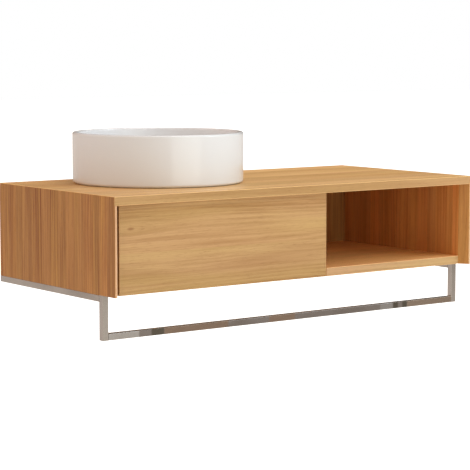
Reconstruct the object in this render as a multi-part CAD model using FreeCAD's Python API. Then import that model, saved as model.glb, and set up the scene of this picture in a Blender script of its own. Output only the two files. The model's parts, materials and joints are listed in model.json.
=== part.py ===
import FreeCAD, Part
import math
import os

# Wall-hung washstand: a hardwood cabinet with one drawer and one open niche, hung on a cleat,
# a square-tube steel frame with a towel bar under it, and a round ceramic basin on top with its
# waste and bottle trap.
# Frame: X to the right along the wall, Y into the wall, Z up.  The origin is on the wall plane,
# at mid-width, at the height of the wall screws.  All sizes are millimetres.

Vector = FreeCAD.Vector
X_AXIS = Vector(1, 0, 0)
Y_AXIS = Vector(0, 1, 0)
Z_AXIS = Vector(0, 0, 1)

# ---------------------------------------------------------------- driving dimensions
WIDTH = 1050.0            # over the side panels
DEPTH = 500.0             # front edge of the worktop to the wall
CABINET_H = 220.0         # worktop surface to cabinet underside
BOARD = 20.0              # cabinet board thickness
BACK_T = 16.0             # back panel thickness
RECESS = 20.0             # hollow behind the back panel for the hanging cleats
TOP_Z = 80.0              # worktop surface above the wall screws
FRONT_SETBACK = 23.0      # drawer front and shelf front behind the worktop front
BEVEL_LAND = 5.7          # flat left on a side panel's front edge beside its bevel
NICHE_W = 424.0           # open niche, divider to right side panel
SOFT_EDGE = 1.5           # rounding on the worktop's edges
SIDE_SOFT = 1.0           # rounding on the other show edges

FRAME_TUBE = 15.0         # square tube, outside
TUBE_WALL = 1.5
FRAME_DROP = 100.0        # cabinet underside to the frame's lowest face
POST_SETBACK = 51.0       # front of the posts behind the worktop front

BASIN_R = 202.0
BASIN_H = 120.0           # worktop to rim, seal included
BASIN_WALL_GAP = 3.0      # back of the basin to the wall
BASIN_RIM = 12.0          # wall thickness at the rim

RUNNER_T = 12.7           # side space that one drawer runner fills
RUNNER_L = 400.0
RUNNER_H = 45.0
DRAWER_SIDE_T = 12.0
DRAWER_SIDE_H = 110.0
DRAWER_BOTTOM_T = 6.0
DRAWER_FLOOR_GAP = 10.0   # under the drawer box
NOTCH_HALF = 75.0         # half width of the plumbing notch in the drawer
FINGER_GAP = 27.0         # behind the drawer front's lower edge, for the fingers

PIPE_R = 16.0             # 32 mm waste pipe
PIPE_WALL = 1.5
WASTE_THREAD_R = 20.9     # 1 1/4 inch waste thread
WASTE_TAIL = 65.0         # length of the waste's tube below its flange
TRAP_OUTLET_DROP = 130.0  # worktop surface to the outlet pipe's axis

DOWEL_R = 4.0
DOWEL_L = 28.0
SCREW_R = 2.25            # 4.5 mm wood screws
SCREW_HEAD_R = 4.5
SCREW_HEAD_H = 3.0
RAIL_SCREWS = (-380.0, -230.0, -80.0)       # places along each rail
RAIL_HOLE_R = 5.0                           # screwdriver holes under the rails
WALL_SCREWS = (-440.0, -160.0, 160.0, 440.0)
WALL_SCREW_R = 3.5

# ---------------------------------------------------------------- places worked out from them
LEFT = -WIDTH / 2
RIGHT = WIDTH / 2
FRONT = -DEPTH
UNDER_TOP = TOP_Z - BOARD
BOTTOM_Z = TOP_Z - CABINET_H
FLOOR_Z = BOTTOM_Z + BOARD              # upper face of the bottom board
INNER_LEFT = LEFT + BOARD
INNER_RIGHT = RIGHT - BOARD
NICHE_X = INNER_RIGHT - NICHE_W         # right face of the divider
BAY_RIGHT = NICHE_X - BOARD             # left face of the divider
SHOW_Y = FRONT + FRONT_SETBACK          # front face of the drawer and the shelf
PANEL_BACK = -RECESS                    # rear face of the back panel
PANEL_FRONT = PANEL_BACK - BACK_T
DIVIDER_FRONT = SHOW_Y + BOARD + 2.0
RAIL_TOP = BOTTOM_Z
POST_Y = FRONT + POST_SETBACK
RAIL_Y = POST_Y + FRAME_TUBE
FRAME_Z = BOTTOM_Z - FRAME_DROP
BASIN_X = (INNER_LEFT + NICHE_X) / 2
BASIN_Y = -BASIN_R - BASIN_WALL_GAP
DRAWER_LEFT = INNER_LEFT + RUNNER_T
DRAWER_RIGHT = BAY_RIGHT - RUNNER_T
DRAWER_Y = SHOW_Y + BOARD               # rear face of the drawer front
DRAWER_BACK = DRAWER_Y + RUNNER_L
DRAWER_Z = FLOOR_Z + DRAWER_FLOOR_GAP
DRAWER_TOP = DRAWER_Z + DRAWER_SIDE_H
DRAWER_FLOOR = DRAWER_Z + 8.0           # underside of the drawer bottom
INSIDE_Z = DRAWER_FLOOR + DRAWER_BOTTOM_T
RUNNER_Z = DRAWER_Z + DRAWER_SIDE_H / 2
RUNNER_Y = DRAWER_Y + 3.0
NOTCH_Y = BASIN_Y - 63.0                # front end of the plumbing notch
PIPE_Z = TOP_Z - TRAP_OUTLET_DROP


# ---------------------------------------------------------------- shape helpers
def box(x, y, z):
    """Box between pairs of limits."""
    return Part.makeBox(x[1] - x[0], y[1] - y[0], z[1] - z[0], Vector(x[0], y[0], z[0]))


def rod(start, axis, radius, length):
    """Cylinder from start along axis."""
    return Part.makeCylinder(radius, length, start, axis)


def extrude(points, vector):
    """Prism of a flat outline."""
    face = Part.Face(Part.makePolygon(points + [points[0]]))
    return face.extrude(vector)


def turned(profile, x, y, z):
    """Solid of revolution about a vertical line; profile is a list of Part edges in r, z."""
    face = Part.Face(Part.Wire(profile))
    solid = face.revolve(Vector(0, 0, 0), Z_AXIS, 360)
    solid.translate(Vector(x, y, z))
    return Part.Solid(solid.Shells[0]) if solid.ShapeType != "Solid" else solid


def ring(x, y, z, inner, outer, height):
    """Flat ring standing on z."""
    disc = rod(Vector(x, y, z), Z_AXIS, outer, height)
    return disc.cut(rod(Vector(x, y, z - 1), Z_AXIS, inner, height + 2))


def hexagon(x, y, z, across_flats, height):
    """Hexagonal prism standing on z."""
    corner = across_flats / math.sqrt(3)
    points = []
    for i in range(6):
        angle = math.radians(60 * i)
        points.append(Vector(x + corner * math.cos(angle), y + corner * math.sin(angle), z))
    return extrude(points, Vector(0, 0, height))


def edges_on(shape, axis, value):
    """Edges lying wholly in the plane where one coordinate has a given value."""
    picked = []
    for edge in shape.Edges:
        ends = [getattr(vertex.Point, axis) for vertex in edge.Vertexes]
        if all(abs(end - value) < 1e-6 for end in ends):
            picked.append(edge)
    return picked


def edges_along(shape, axis):
    """Straight edges parallel to an axis."""
    picked = []
    for edge in shape.Edges:
        ends = [vertex.Point for vertex in edge.Vertexes]
        if len(ends) == 2 and (ends[1] - ends[0]).cross(axis).Length < 1e-6:
            picked.append(edge)
    return picked


def less(shape, *tools):
    """Shape with every tool cut away."""
    for tool in tools:
        shape = shape.cut(tool)
    return shape


def screw(head_at, direction, shank_r, head_r, length, head_h, flush=True):
    """Screw driven from head_at along direction; flush heads are countersunk cones."""
    shank = rod(head_at, direction, shank_r, length)
    if flush:
        head = Part.makeCone(head_r, shank_r, head_h, head_at, direction)
    else:
        head = rod(head_at - direction * head_h, direction, head_r, head_h)
    return shank.fuse(head).removeSplitter()


def mirrored_pair(shape_list):
    """The shapes and their mirror images about the plane x = 0."""
    plane = (Vector(0, 0, 0), X_AXIS)
    return shape_list + [shape.mirror(*plane) for shape in shape_list]


# ---------------------------------------------------------------- fasteners
def case_dowels():
    """Hardwood dowels that locate the cabinet boards."""
    into_top = 12.0
    into_side = 11.0
    side_x = LEFT + BOARD / 2
    pegs = []
    for y in (-440.0, -250.0, -60.0):
        start = Vector(side_x, y, UNDER_TOP + into_top - DOWEL_L)
        pegs.append(rod(start, Z_AXIS, DOWEL_R, DOWEL_L))
    for y in (-400.0, -250.0, -100.0):
        start = Vector(INNER_LEFT - into_side, y, BOTTOM_Z + BOARD / 2)
        pegs.append(rod(start, X_AXIS, DOWEL_R, DOWEL_L))
    for z in (-80.0, 20.0):
        start = Vector(INNER_LEFT - into_side, PANEL_BACK - BACK_T / 2, z)
        pegs.append(rod(start, X_AXIS, DOWEL_R, DOWEL_L))
    pegs = mirrored_pair(pegs)
    divider_x = (BAY_RIGHT + NICHE_X) / 2
    for y in (-400.0, -245.0, -90.0):
        upper = Vector(divider_x, y, UNDER_TOP + into_top - DOWEL_L)
        lower = Vector(divider_x, y, FLOOR_Z - into_side)
        pegs.append(rod(upper, Z_AXIS, DOWEL_R, DOWEL_L))
        pegs.append(rod(lower, Z_AXIS, DOWEL_R, DOWEL_L))
    return Part.makeCompound(pegs)


def cleat_screws():
    """Countersunk screws holding the cabinet's cleat and spacer batten to the back panel."""
    cleat_rear = PANEL_BACK + CLEAT_T
    cleat_row = UNDER_TOP - 14.0
    batten_row = (BATTEN_Z[0] + BATTEN_Z[1]) / 2
    screws = []
    for x in (-460.0, -330.0, -100.0, 100.0, 280.0, 460.0):
        head = Vector(x, cleat_rear, cleat_row)
        screws.append(screw(head, -Y_AXIS, SCREW_R, SCREW_HEAD_R, 28.0, SCREW_HEAD_H))
    for x in (-420.0, -60.0, 200.0, 420.0):
        head = Vector(x, 0.0, batten_row)
        screws.append(screw(head, -Y_AXIS, SCREW_R, SCREW_HEAD_R, 30.0, SCREW_HEAD_H))
    return Part.makeCompound(screws)


def frame_screws():
    """Pan-head screws through the rails up into the side panels."""
    rail_x = LEFT + FRAME_TUBE / 2
    screws = []
    for y in RAIL_SCREWS:
        seat = Vector(rail_x, y, RAIL_TOP - TUBE_WALL)
        screws.append(screw(seat, Z_AXIS, SCREW_R, SCREW_HEAD_R, 30.0, SCREW_HEAD_H, flush=False))
    return Part.makeCompound(mirrored_pair(screws))


def rail_plugs():
    """Plastic plugs closing the screwdriver holes, flush with the rails' undersides."""
    rail_x = LEFT + FRAME_TUBE / 2
    depth = 4.0
    plugs = []
    for y in RAIL_SCREWS:
        start = Vector(rail_x, y, RAIL_TOP - FRAME_TUBE)
        plugs.append(rod(start, Z_AXIS, RAIL_HOLE_R, depth))
    return Part.makeCompound(mirrored_pair(plugs))


def front_screws():
    """Screws from inside the drawer into its front."""
    head_y = DRAWER_Y + DRAWER_SIDE_T
    length = 24.0
    screws = []
    for x in (-420.0, BASIN_X, -20.0):
        for z in (-80.0, -22.0):
            head = Vector(x, head_y, z)
            screws.append(screw(head, -Y_AXIS, 2.0, 4.0, length, 2.4, flush=False))
    return Part.makeCompound(screws)


# ---------------------------------------------------------------- cabinet
def top_board():
    """Worktop with the hole for the waste."""
    board = box((LEFT, RIGHT), (FRONT, 0), (UNDER_TOP, TOP_Z))
    board = board.makeFillet(SOFT_EDGE, board.Edges)
    waste_hole_r = 25.0
    return board.cut(rod(Vector(BASIN_X, BASIN_Y, UNDER_TOP - 1), Z_AXIS, waste_hole_r, BOARD + 2))


def side_panel():
    """Left side panel: its inner front edge is bevelled back to the drawer front's plane."""
    outline = [
        Vector(LEFT, FRONT, BOTTOM_Z),
        Vector(LEFT + BEVEL_LAND, FRONT, BOTTOM_Z),
        Vector(INNER_LEFT, SHOW_Y, BOTTOM_Z),
        Vector(INNER_LEFT, 0, BOTTOM_Z),
        Vector(LEFT, 0, BOTTOM_Z),
    ]
    panel = extrude(outline, Vector(0, 0, UNDER_TOP - BOTTOM_Z))
    show = []
    for edge in edges_along(panel, Z_AXIS):
        middle = edge.CenterOfMass
        if middle.x < LEFT + 0.1 and middle.y < FRONT + 0.1:
            show.append(edge)
    return panel.makeFillet(SIDE_SOFT, show)


def bottom_board():
    """Bottom of the cabinet: shelf of the niche on the right, set back under the drawer."""
    joint = 1.0
    finger_y = DRAWER_Y + FINGER_GAP
    outline = [
        Vector(INNER_LEFT, finger_y, BOTTOM_Z),
        Vector(BAY_RIGHT, finger_y, BOTTOM_Z),
        Vector(BAY_RIGHT, DIVIDER_FRONT, BOTTOM_Z),
        Vector(NICHE_X + joint, DIVIDER_FRONT, BOTTOM_Z),
        Vector(NICHE_X + joint, SHOW_Y, BOTTOM_Z),
        Vector(INNER_RIGHT, SHOW_Y, BOTTOM_Z),
        Vector(INNER_RIGHT, PANEL_FRONT, BOTTOM_Z),
        Vector(INNER_LEFT, PANEL_FRONT, BOTTOM_Z),
    ]
    board = extrude(outline, Vector(0, 0, BOARD))
    show = []
    for edge in edges_along(board, X_AXIS):
        if edge.CenterOfMass.y < SHOW_Y + 0.1:
            show.append(edge)
    return board.makeFillet(SIDE_SOFT, show)


def divider():
    """Upright between the drawer and the niche."""
    return box((BAY_RIGHT, NICHE_X), (DIVIDER_FRONT, PANEL_FRONT), (FLOOR_Z, UNDER_TOP))


def back_panel():
    """Full-width back with a rounded service hole behind the trap."""
    panel = box((INNER_LEFT, INNER_RIGHT), (PANEL_FRONT, PANEL_BACK), (BOTTOM_Z, UNDER_TOP))
    half_w = 80.0
    z = (PIPE_Z - 62.0, PIPE_Z + 38.0)
    corner = 12.0
    hole = box((BASIN_X - half_w, BASIN_X + half_w), (PANEL_FRONT - 1, PANEL_BACK + 1), z)
    hole = hole.makeFillet(corner, edges_along(hole, Y_AXIS))
    return panel.cut(hole)


CLEAT_T = 18.0
CLEAT_TOP = 30.0          # point of the wall cleat above the wall screws
CLEAT_SPAN = 490.0        # half length of both cleats
BATTEN_SPAN = 480.0
BATTEN_Z = (-135.0, -105.0)


def hanging_cleat():
    """Cabinet's half of the bevelled cleat, hooked over the wall's half."""
    play = 0.2
    rear = PANEL_BACK + CLEAT_T
    point = CLEAT_TOP - (rear + CLEAT_T) + play
    outline = [
        Vector(-CLEAT_SPAN, PANEL_BACK, point + CLEAT_T),
        Vector(-CLEAT_SPAN, rear, point),
        Vector(-CLEAT_SPAN, rear, UNDER_TOP - 2.0),
        Vector(-CLEAT_SPAN, PANEL_BACK, UNDER_TOP - 2.0),
    ]
    return extrude(outline, Vector(2 * CLEAT_SPAN, 0, 0))


def wall_cleat():
    """Wall's half of the cleat, with four holes for the wall screws."""
    outline = [
        Vector(-CLEAT_SPAN, -CLEAT_T, -CLEAT_TOP),
        Vector(-CLEAT_SPAN, 0, -CLEAT_TOP),
        Vector(-CLEAT_SPAN, 0, CLEAT_TOP - CLEAT_T),
        Vector(-CLEAT_SPAN, -CLEAT_T, CLEAT_TOP),
    ]
    cleat = extrude(outline, Vector(2 * CLEAT_SPAN, 0, 0))
    for x in WALL_SCREWS:
        cleat = cleat.cut(rod(Vector(x, -CLEAT_T - 1, 0), Y_AXIS, WALL_SCREW_R, CLEAT_T + 2))
    return cleat


def spacer_batten():
    """Batten that keeps the cabinet's foot the same distance from the wall."""
    return box((-BATTEN_SPAN, BATTEN_SPAN), (PANEL_BACK, 0), BATTEN_Z)


def divider_bumpers():
    """Two rubber dots that the closed drawer front meets."""
    thick = 1.7
    dots = []
    for z in (-95.0, 35.0):
        start = Vector((BAY_RIGHT + NICHE_X) / 2, DIVIDER_FRONT - thick, z)
        dots.append(rod(start, Y_AXIS, 4.0, thick))
    return Part.makeCompound(dots)


# ---------------------------------------------------------------- steel frame
TUBE_CORNER = 1.2         # rounding on the tube's long edges
CAP = 1.5                 # thickness of a cap's visible plate
CAP_DEPTH = 10.0          # how far a cap reaches into its tube


def square_tube(x, y, z, axis):
    """Square tube between limits, hollow along axis, with rounded long edges."""
    outer = box(x, y, z)
    outer = outer.makeFillet(TUBE_CORNER, edges_along(outer, axis))
    spans = {"x": x, "y": y, "z": z}
    inner = {}
    for name, span in spans.items():
        along = getattr(axis, name) != 0
        shrink = -1.0 if along else TUBE_WALL
        inner[name] = (span[0] + shrink, span[1] - shrink)
    return outer.cut(box(inner["x"], inner["y"], inner["z"]))


def rail():
    """Left rail under the side panel, drilled for its three screws."""
    tube = square_tube(
        (LEFT, LEFT + FRAME_TUBE), (RAIL_Y, -CAP), (RAIL_TOP - FRAME_TUBE, RAIL_TOP), Y_AXIS
    )
    rail_x = LEFT + FRAME_TUBE / 2
    middle = RAIL_TOP - FRAME_TUBE / 2
    for y in RAIL_SCREWS:
        tube = tube.cut(rod(Vector(rail_x, y, middle), Z_AXIS, SCREW_R, FRAME_TUBE))
        tube = tube.cut(rod(Vector(rail_x, y, middle), -Z_AXIS, RAIL_HOLE_R, FRAME_TUBE))
    return tube


def post():
    """Left post, from the cabinet's underside down to its cap."""
    return square_tube(
        (LEFT, LEFT + FRAME_TUBE), (POST_Y, RAIL_Y), (FRAME_Z + CAP, BOTTOM_Z), Z_AXIS
    )


def towel_bar():
    """Bar between the posts, closed by their inner faces."""
    inside = LEFT + FRAME_TUBE
    return square_tube((inside, -inside), (POST_Y, RAIL_Y), (FRAME_Z, FRAME_Z + FRAME_TUBE), X_AXIS)


def post_caps():
    """Caps pressed into the posts' lower ends."""
    plate = box((LEFT, LEFT + FRAME_TUBE), (POST_Y, RAIL_Y), (FRAME_Z, FRAME_Z + CAP))
    plate = plate.makeFillet(TUBE_CORNER, edges_along(plate, Z_AXIS))
    x = (LEFT + TUBE_WALL, LEFT + FRAME_TUBE - TUBE_WALL)
    y = (POST_Y + TUBE_WALL, RAIL_Y - TUBE_WALL)
    cap = plate.fuse(box(x, y, (FRAME_Z + CAP, FRAME_Z + CAP + CAP_DEPTH)))
    return Part.makeCompound(mirrored_pair([cap]))


def rail_caps():
    """Caps in the rails' rear ends, against the wall."""
    z = (RAIL_TOP - FRAME_TUBE, RAIL_TOP)
    plate = box((LEFT, LEFT + FRAME_TUBE), (-CAP, 0), z)
    plate = plate.makeFillet(TUBE_CORNER, edges_along(plate, Y_AXIS))
    x = (LEFT + TUBE_WALL, LEFT + FRAME_TUBE - TUBE_WALL)
    inner_z = (z[0] + TUBE_WALL, z[1] - TUBE_WALL)
    cap = plate.fuse(box(x, (-CAP - CAP_DEPTH, -CAP), inner_z))
    return Part.makeCompound(mirrored_pair([cap]))


# ---------------------------------------------------------------- drawer
def drawer_front():
    """Plain front, its lower rear edge chamfered for the fingers."""
    left = INNER_LEFT + 6.0
    chamfer = 12.0
    top = UNDER_TOP - 1.5
    outline = [
        Vector(left, SHOW_Y, BOTTOM_Z),
        Vector(left, DRAWER_Y - chamfer, BOTTOM_Z),
        Vector(left, DRAWER_Y, BOTTOM_Z + chamfer),
        Vector(left, DRAWER_Y, top),
        Vector(left, SHOW_Y, top),
    ]
    front = extrude(outline, Vector(NICHE_X - left, 0, 0))
    return front.makeFillet(SIDE_SOFT, edges_on(front, "y", SHOW_Y))


def drawer_side(x):
    """One drawer side with the groove for the bottom."""
    return box(x, (DRAWER_Y, DRAWER_BACK), (DRAWER_Z, DRAWER_TOP)).cut(drawer_bottom_blank())


def drawer_bottom_blank():
    """Bottom before its notch is cut; it stands in grooves half the sides' thickness deep."""
    groove = DRAWER_SIDE_T / 2
    return box(
        (DRAWER_LEFT + groove, DRAWER_RIGHT - groove),
        (DRAWER_Y + groove, DRAWER_BACK),
        (DRAWER_FLOOR, INSIDE_Z),
    )


def drawer_bottom():
    """Bottom, notched from the rear round the trap."""
    notch = box(
        (BASIN_X - NOTCH_HALF, BASIN_X + NOTCH_HALF),
        (NOTCH_Y, DRAWER_BACK + 1),
        (DRAWER_FLOOR - 1, INSIDE_Z + 1),
    )
    return drawer_bottom_blank().cut(notch)


def drawer_subfront():
    """Front wall of the drawer box, behind the drawer front."""
    x = (DRAWER_LEFT + DRAWER_SIDE_T, DRAWER_RIGHT - DRAWER_SIDE_T)
    wall = box(x, (DRAWER_Y, DRAWER_Y + DRAWER_SIDE_T), (DRAWER_Z, DRAWER_TOP))
    return wall.cut(drawer_bottom_blank())


def drawer_partition_walls():
    """Rear walls and the three walls round the plumbing notch, all standing on the bottom."""
    t = DRAWER_SIDE_T
    inner = (DRAWER_LEFT + t, DRAWER_RIGHT - t)
    notch = (BASIN_X - NOTCH_HALF, BASIN_X + NOTCH_HALF)
    z = (INSIDE_Z, DRAWER_TOP)
    rear = (DRAWER_BACK - t, DRAWER_BACK)
    cheek = (NOTCH_Y - t, DRAWER_BACK)
    return {
        "drawer_back_left": box((inner[0], notch[0] - t), rear, z),
        "drawer_back_right": box((notch[1] + t, inner[1]), rear, z),
        "notch_wall_left": box((notch[0] - t, notch[0]), cheek, z),
        "notch_wall_right": box((notch[1], notch[1] + t), cheek, z),
        "notch_wall_front": box(notch, (NOTCH_Y - t, NOTCH_Y), z),
    }


# ---------------------------------------------------------------- drawer runners
RUNNER_METAL = 1.2
CAGE_L = 190.0            # ball cages are shorter, and stay inside both members' overlap
CAGE_Y = RUNNER_Y + 104.0


def channel(web, flange_v, flange_u, metal, y):
    """U section: web between two u limits, flanges at +-flange_v (outer face) over flange_u."""
    parts = [box(web, y, (-flange_v, flange_v))]
    for sign in (-1, 1):
        faces = sorted((sign * flange_v, sign * (flange_v - metal)))
        parts.append(box(flange_u, y, faces))
    return parts[0].multiFuse(parts[1:]).removeSplitter()


def runner_members():
    """Left runner about its own axis: u runs from the cabinet wall (0) to the drawer side."""
    full = (RUNNER_Y, RUNNER_Y + RUNNER_L)
    caged = (CAGE_Y, CAGE_Y + CAGE_L)
    metal = RUNNER_METAL
    return {
        "fixed": channel((0.0, metal), RUNNER_H / 2, (metal, 9.5), metal, full),
        "middle": channel((2.2, 3.4), 17.0, (3.4, 10.6), metal, full),
        "drawer": channel((RUNNER_T - metal, RUNNER_T), 11.5, (4.2, RUNNER_T - metal), metal, full),
        "outer_cage": channel((1.45, 1.95), 19.65, (1.95, 8.6), 1.0, caged),
        "inner_cage": channel((3.55, 4.05), 14.15, (4.05, 9.0), 1.0, caged),
    }


def place_runner(member, side):
    """Moves a member of the left runner to its place, or mirrors it to the divider."""
    if side == "right":
        member = member.mirror(Vector(0, 0, 0), X_AXIS)
        member.translate(Vector(BAY_RIGHT, 0, RUNNER_Z))
    else:
        member.translate(Vector(INNER_LEFT, 0, RUNNER_Z))
    return member


def runner_screws(web_u, into_cabinet):
    """Countersunk screws through a member's web, both runners, heads flush with the metal."""
    inward = -1 if into_cabinet else 1
    shank = 11.0 if into_cabinet else 9.0
    ends = ((INNER_LEFT, 1), (BAY_RIGHT, -1))
    screws = []
    for wall, sign in ends:
        for offset in (35.0, 200.0, 365.0):
            at = Vector(wall + sign * web_u, RUNNER_Y + offset, RUNNER_Z)
            screws.append(screw(at, Vector(sign * inward, 0, 0), 1.75, 3.4, shank, 1.1))
    return Part.makeCompound(screws)


# ---------------------------------------------------------------- basin and waste
BASIN_SEAL = 1.0
SEAT = 12.0               # waste seat above the worktop
FLANGE_WASHER = 1.0
FLANGE_T = 2.5
PLUG_GAP = 0.4            # plug cap above the waste flange when shut
PLUG_STEM_R = 4.0
COLLAR_R = 20.5           # collar and seal where the trap meets the waste
GASKET_T = 3.0


def line(a, b):
    """Straight profile edge between two (r, z) points."""
    return Part.LineSegment(Vector(a[0], 0, a[1]), Vector(b[0], 0, b[1])).toShape()


def arc(a, mid, b):
    """Profile arc through three (r, z) points."""
    points = [Vector(p[0], 0, p[1]) for p in (a, mid, b)]
    return Part.Arc(*points).toShape()


def corner_arc(centre, radius, start_deg, end_deg):
    """Profile arc about a centre, with its two ends."""
    def at(deg):
        angle = math.radians(deg)
        return (centre[0] + radius * math.cos(angle), centre[1] + radius * math.sin(angle))
    start = at(start_deg)
    end = at(end_deg)
    return arc(start, at((start_deg + end_deg) / 2), end), start, end


def basin():
    """Straight-sided round bowl on a foot ring, its floor falling to the waste."""
    rim_r = 4.5
    foot_r = 6.0
    inner = BASIN_R - BASIN_RIM
    bowl_r = 45.0
    taper = 5.0
    floor_edge = 20.0
    foot_inner = 178.0
    hollow = 6.0
    boss = 45.0
    hole = 23.0
    recess = 32.5
    seat_top = 16.0
    foot, foot_a, foot_b = corner_arc((BASIN_R - foot_r, BASIN_SEAL + foot_r), foot_r, -90, 0)
    outer, outer_a, outer_b = corner_arc((BASIN_R - rim_r, BASIN_H - rim_r), rim_r, 0, 90)
    lip, lip_a, lip_b = corner_arc((inner + rim_r, BASIN_H - rim_r), rim_r, 90, 180)
    lean = math.degrees(math.atan2(taper, BASIN_H - floor_edge - bowl_r))
    centre = (inner - taper - bowl_r, floor_edge + bowl_r)
    bowl, bowl_a, bowl_b = corner_arc(centre, bowl_r, -lean, -90)
    profile = [
        line((foot_inner, BASIN_SEAL), foot_a),
        foot,
        line(foot_b, outer_a),
        outer,
        line(outer_b, lip_a),
        lip,
        line(lip_b, bowl_a),
        bowl,
        line(bowl_b, (recess, seat_top)),
        line((recess, seat_top), (recess, SEAT)),
        line((recess, SEAT), (hole, SEAT)),
        line((hole, SEAT), (hole, BASIN_SEAL)),
        line((hole, BASIN_SEAL), (boss, BASIN_SEAL)),
        line((boss, BASIN_SEAL), (boss, hollow)),
        line((boss, hollow), (foot_inner, hollow)),
        line((foot_inner, hollow), (foot_inner, BASIN_SEAL)),
    ]
    return turned(profile, BASIN_X, BASIN_Y, TOP_Z)


def basin_seal():
    """Clear silicone ring under the foot."""
    return ring(BASIN_X, BASIN_Y, TOP_Z, 181.0, 195.0, BASIN_SEAL)


def waste_body():
    """Threaded waste: dished flange, tube, and a three-armed bridge that guides the plug stem."""
    flange_z = TOP_Z + SEAT + FLANGE_WASHER
    top = flange_z + FLANGE_T
    bore = 17.0
    mouth = 28.0
    throat = 18.5
    flange = rod(Vector(BASIN_X, BASIN_Y, flange_z), Z_AXIS, 31.5, FLANGE_T)
    flange = flange.makeChamfer(0.6, edges_on(flange, "z", top))
    tube = rod(Vector(BASIN_X, BASIN_Y, flange_z - WASTE_TAIL), Z_AXIS, WASTE_THREAD_R, WASTE_TAIL)
    body = flange.fuse(tube)
    start = Vector(BASIN_X, BASIN_Y, flange_z - WASTE_TAIL - 1)
    body = body.cut(rod(start, Z_AXIS, bore, 2 * WASTE_TAIL))
    dish = Part.makeCone(throat, mouth, FLANGE_T, Vector(BASIN_X, BASIN_Y, flange_z), Z_AXIS)
    body = body.cut(dish)
    bridge_z = TOP_Z - 18.0
    bridge_h = 6.0
    half_arm = 1.5
    bridge = rod(Vector(BASIN_X, BASIN_Y, bridge_z), Z_AXIS, 7.0, bridge_h)
    for i in range(3):
        arm = box((BASIN_X, BASIN_X + bore + 1), (BASIN_Y - half_arm, BASIN_Y + half_arm),
                  (bridge_z, bridge_z + bridge_h))
        arm.rotate(Vector(BASIN_X, BASIN_Y, 0), Z_AXIS, 120 * i)
        bridge = bridge.fuse(arm)
    body = body.fuse(bridge)
    stem_hole_r = PLUG_STEM_R + 0.06
    stem_hole = rod(Vector(BASIN_X, BASIN_Y, bridge_z - 1), Z_AXIS, stem_hole_r, bridge_h + 2)
    return body.cut(stem_hole).removeSplitter()


def waste_plug():
    """Push-up plug: domed cap on a stem."""
    under = TOP_Z + SEAT + FLANGE_WASHER + FLANGE_T + PLUG_GAP
    cap_r = 29.0
    rise = 3.0
    edge = 1.2
    stem_bottom = TOP_Z - 24.0 - under
    sphere_r = (cap_r ** 2 + rise ** 2) / (2 * rise)
    half_angle = math.asin(cap_r / 2 / sphere_r)
    dome_z = edge + rise - sphere_r
    mid = (cap_r / 2, dome_z + sphere_r * math.cos(half_angle))
    profile = [
        line((0, stem_bottom), (PLUG_STEM_R, stem_bottom)),
        line((PLUG_STEM_R, stem_bottom), (PLUG_STEM_R, 0)),
        line((PLUG_STEM_R, 0), (cap_r, 0)),
        line((cap_r, 0), (cap_r, edge)),
        arc((cap_r, edge), mid, (0, edge + rise)),
        line((0, edge + rise), (0, stem_bottom)),
    ]
    return turned(profile, BASIN_X, BASIN_Y, under)


def plug_seal():
    """Rubber ring under the plug cap."""
    under = TOP_Z + SEAT + FLANGE_WASHER + FLANGE_T + PLUG_GAP
    height = 1.6
    return ring(BASIN_X, BASIN_Y, under - height, PLUG_STEM_R, 22.0, height)


def flange_washer():
    """Soft washer between the waste flange and the basin."""
    return ring(BASIN_X, BASIN_Y, TOP_Z + SEAT, 23.5, 31.0, FLANGE_WASHER)


def waste_gasket():
    """Rubber gasket under the worktop."""
    return ring(BASIN_X, BASIN_Y, UNDER_TOP - GASKET_T, WASTE_THREAD_R, 34.0, GASKET_T)


def waste_nut():
    """Hexagonal back nut that clamps basin and worktop."""
    height = 10.0
    across_flats = 60.0
    z = UNDER_TOP - GASKET_T - height
    nut = hexagon(BASIN_X, BASIN_Y, z, across_flats, height)
    return nut.cut(rod(Vector(BASIN_X, BASIN_Y, z - 1), Z_AXIS, WASTE_THREAD_R, height + 2))


# ---------------------------------------------------------------- bottle trap
TRAP_R = 31.0
TRAP_WALL = 3.0
TRAP_TOP = TOP_Z - 104.0
TRAP_SPLIT = TOP_Z - 158.0
TRAP_FLOOR = TOP_Z - 194.0
WASTE_END = TOP_Z + SEAT + FLANGE_WASHER - WASTE_TAIL
COLLAR_Z = WASTE_END - 4.5  # underside of the inlet pipe's collar, below its seal
NECK_H = 10.0             # inlet neck above the trap's top
OUTLET_REACH = 52.0       # trap's axis to the end of its side outlet
NUT_R = 24.0              # neck and outlet nuts


def coupling_nut(start, axis, outer, bore, length):
    """Round hand nut with a bore."""
    nut = rod(start, axis, outer, length)
    nut = nut.makeChamfer(1.0, [edge for edge in nut.Edges if edge.isClosed()])
    return nut.cut(rod(start - axis, axis, bore, length + 2))


def trap_inlet_nut():
    """Nut that joins the inlet pipe to the waste's thread."""
    upper = 9.0
    lower = 8.0
    start = Vector(BASIN_X, BASIN_Y, COLLAR_Z - lower)
    nut = coupling_nut(start, Z_AXIS, 26.0, PIPE_R, WASTE_END + upper - start.z)
    pocket = rod(start + Z_AXIS * lower, Z_AXIS, WASTE_THREAD_R, upper + 10.0)
    return nut.cut(pocket)


def trap_inlet_seal():
    """Flat seal between the waste's end and the inlet pipe's collar."""
    height = 2.0
    return ring(BASIN_X, BASIN_Y, WASTE_END - height, PIPE_R - PIPE_WALL, COLLAR_R, height)


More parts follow.
